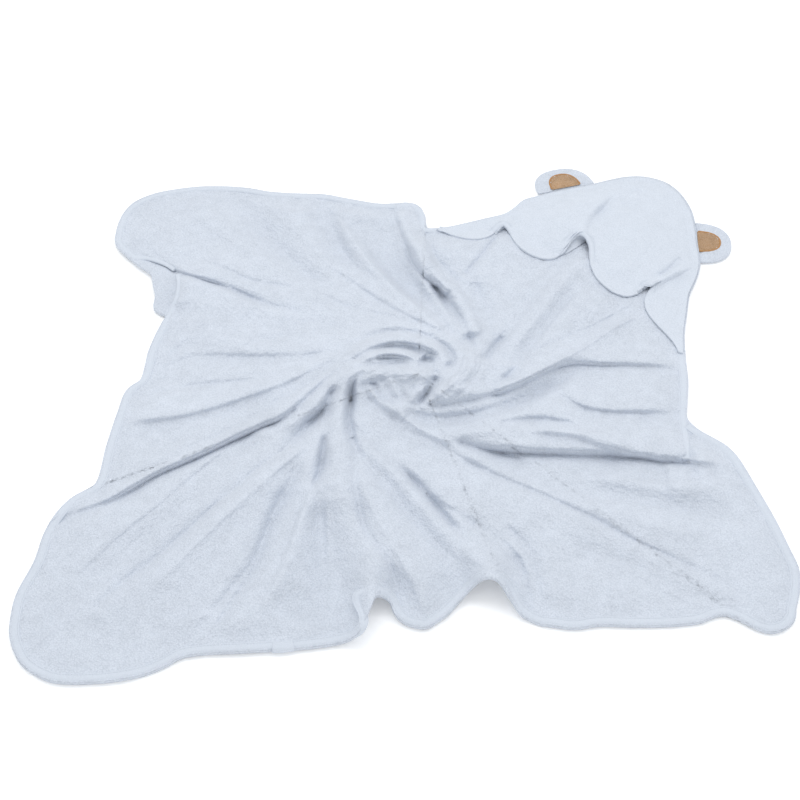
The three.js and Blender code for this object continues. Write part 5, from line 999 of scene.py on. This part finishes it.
tapes, rows_a = [], []
for k, run in enumerate(TAPE_RUNS):
    length = np.linalg.norm(np.diff(np.array(run, float), axis=0), axis=1).sum()
    path = curve(run, False, int(length / 2.6))[::-1]      # reversed: the cloth is on the left
    zc = tape_height(path)
    tapes.append(sweep_tube(path, zc, TAPE_SECTION, "tape"))
    rows_a.append(stitches(path, zc, 7.6, 0.42, 3.1, 2.3, 0.24))
tape = dress(merge("rim_tape", tapes), TAPE)
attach(tape, "root"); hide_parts("edge_binding")
rim_thread = dress(merge("rim_stitches", rows_a), THREAD)
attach(rim_thread, "root"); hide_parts("binding_stitching")
jp = curve([(-128, -354.6), (-121, -354.2), (-113, -353.4), (-106, -352)], False, 24)
jz = tape_height(jp)
tab = sweep_tube(jp, jz, [(a if a > 2 else a - 1.8, r * 1.25 + (0.35 if r > 0 else 0)) for a, r in TAPE_SECTION], "tab")
join = dress(mesh_object("tape_join_tab", *tab), TAPE)
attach(join, "root"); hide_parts("binding_join")

hood, free = build_hood()
dress(hood, HOODT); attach(hood, "root"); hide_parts("hood_panel")
hz = free[::-1, 2] - 0.9


def curl(name, edge, foot, drop):
    """inner face of the hood, seen under a raised stretch of its hem: from the hem down to where it turns under"""
    n, m = 60, 16
    e, f = curve(edge, False, n), curve(foot, False, n)
    v = np.linspace(0, 1, m)
    F = e[:, None, :] * (1 - v)[None, :, None] + f[:, None, :] * v[None, :, None]
    k = np.argmin(((e[:, None] - free[None, :, :2]) ** 2).sum(2), axis=1)
    ze = free[k, 2] - drop
    zf = sheet_height(f) + 1.2
    zz = ze[:, None] * (1 - v)[None] + np.minimum(zf, ze)[:, None] * v[None] - 2.0 * np.sin(np.pi * v)[None] * ((ze - zf) / 20)[:, None]
    P = lift(F.reshape(-1, 2), zz.ravel()).reshape(n, m, 3)
    back = P + np.array([0, 0.0011, -0.0011])
    V = np.concatenate([P.reshape(-1, 3), back.reshape(-1, 3)])
    i, j = np.meshgrid(np.arange(n - 1), np.arange(m - 1), indexing="ij"); i, j = i.ravel(), j.ravel()
    a, b, c, d = i * m + j, (i + 1) * m + j, (i + 1) * m + j + 1, i * m + j + 1
    o = n * m
    T = [np.stack([a, b, c], 1), np.stack([a, c, d], 1), np.stack([a + o, c + o, b + o], 1), np.stack([a + o, d + o, c + o], 1)]
    i, j = np.arange(n), np.arange(m)
    for idx, flip in ((i * m, True), (i * m + m - 1, False), (j, False), ((n - 1) * m + j, True)):
        p, q = idx[:-1], idx[1:]
        w = [np.stack([p, q, q + o], 1), np.stack([p, q + o, p + o], 1)]
        T += [x[:, ::-1] for x in w] if flip else w
    return V, triangles_out(V, np.concatenate(T))


inner = dress(merge("hood_inner_face", [
    curl("a", [(196, 258), (205, 264), (213, 277), (221, 292), (229, 302), (236, 304), (241, 299)], [(199, 258), (208, 263), (216, 268), (224, 275), (232, 282), (238, 288), (243, 291)], 2.5),
    curl("b", [(108, 299), (117, 303), (125, 312), (131, 321), (136, 324), (139, 320)], [(110, 298), (118, 301), (124, 305), (130, 311), (135, 316), (139, 318)], 2.5),
    curl("c", [(288, 184), (296, 188), (303, 196), (310, 204), (314, 206)], [(289, 183), (296, 186), (302, 191), (308, 197), (313, 202)], 2.5),
]), HOODT)
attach(inner, "root"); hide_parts("hood_panel")
V, T = sweep_tube(free[:, :2], hz[::-1], HEM_SECTION, "hem")
hem = dress(mesh_object("hood_hem_tape", V, T), TAPE)
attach(hem, "root"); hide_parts("hood_hem")
V, T = stitches(free[:, :2], hz[::-1], 6.7, 0.75, 3.1, 2.3, 0.26)
hem_thread = dress(mesh_object("hood_hem_stitches", V, T), THREAD)
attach(hem_thread, "root"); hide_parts("hood_hem_stitching")

for side in ("left", "right"):
    body = "ear_" + side
    tuck = -5.5 if side == "left" else -0.6        # the seam allowance lies under the bound rim
    o = dress(ear_shell(f"ear_{side}_terry_front", side, 1.0, 3.2, 4.8, 2.4, 2.6, shift=tuck), TERRY)
    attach(o, body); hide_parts(f"ear_{side}_front")
    o = dress(ear_shell(f"ear_{side}_terry_back", side, 1.0, 0.4, 3.1, 1.6, 2.6, shift=tuck, down=True), TERRY)
    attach(o, body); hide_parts(f"ear_{side}_back")
    o = dress(ear_shell(f"ear_{side}_plush", side, 0.64, 5.6, 6.2, 0.75, 2.2, shift=tuck + 0.8, fuzz=0.22, rings=30, wide=0.76), TAN)
    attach(o, body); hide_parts(f"ear_{side}_inner")
    o = dress(satin(f"ear_{side}_satin_stitch", side, 0.65, 6.15, tuck + 0.8, 2.4, 170), TANTHREAD)
    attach(o, body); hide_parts(f"ear_{side}_stitching")

# ------------------------------------------------------------------ floor, light, camera
fl = mesh_object("floor", [(-6, -6, 0), (6, -6, 0), (6, 6, 0), (-6, 6, 0)], [(0, 1, 2, 3)], smooth=False)
fl.location.z = -0.0002
fm = bpy.data.materials.new("floor_pale"); fm.use_nodes = True
fb = fm.node_tree.nodes["Principled BSDF"]
fb.inputs["Base Color"].default_value = (0.97, 0.97, 0.97, 1); fb.inputs["Roughness"].default_value = 0.9
fb.inputs["Specular IOR Level"].default_value = 0.1
fb.inputs["Emission Color"].default_value = (1, 1, 1, 1); fb.inputs["Emission Strength"].default_value = 0.15
fl.data.materials.append(fm)

w = bpy.data.worlds.new("studio"); bpy.context.scene.world = w; w.use_nodes = True
w.node_tree.nodes["Background"].inputs["Color"].default_value = (0.96, 0.98, 1.0, 1)
w.node_tree.nodes["Background"].inputs["Strength"].default_value = 0.95


def area(name, loc, target, size, power, color=(1, 1, 1)):
    L = bpy.data.lights.new(name, "AREA"); L.shape = "DISK"; L.size = size; L.energy = power; L.color = color
    ob = bpy.data.objects.new(name, L); bpy.context.scene.collection.objects.link(ob)
    ob.location = loc
    ob.rotation_euler = (Vector(target) - Vector(loc)).to_track_quat("-Z", "Y").to_euler()
    return ob


area("key", (-0.3, 1.6, 2.3), (0, 0, 0), 1.8, 4)
strip = area("overhead", (0.05, 0.10, 1.3), (0.05, 0, 0), 1.0, 5.5)
strip.data.shape = "RECTANGLE"; strip.data.size = 2.2; strip.data.size_y = 0.5

cam = bpy.data.cameras.new("camera"); co = bpy.data.objects.new("camera", cam)
bpy.context.scene.collection.objects.link(co)
cam.lens = 69.57; cam.sensor_width = 36; cam.clip_start = 0.05; cam.clip_end = 50
co.location = ((EYE[0] + SHIFT[0]) * 0.001, (EYE[1] + SHIFT[1]) * 0.001, EYE[2] * 0.001)
tgt = Vector((SHIFT[0] * 0.001, SHIFT[1] * 0.001, 0))
co.rotation_euler = (tgt - co.location).to_track_quat("-Z", "Y").to_euler()
bpy.context.scene.camera = co
bpy.context.scene.view_settings.view_transform = "Standard"
bpy.context.scene.view_settings.look = "None"
bpy.context.scene.view_settings.exposure = 0.0
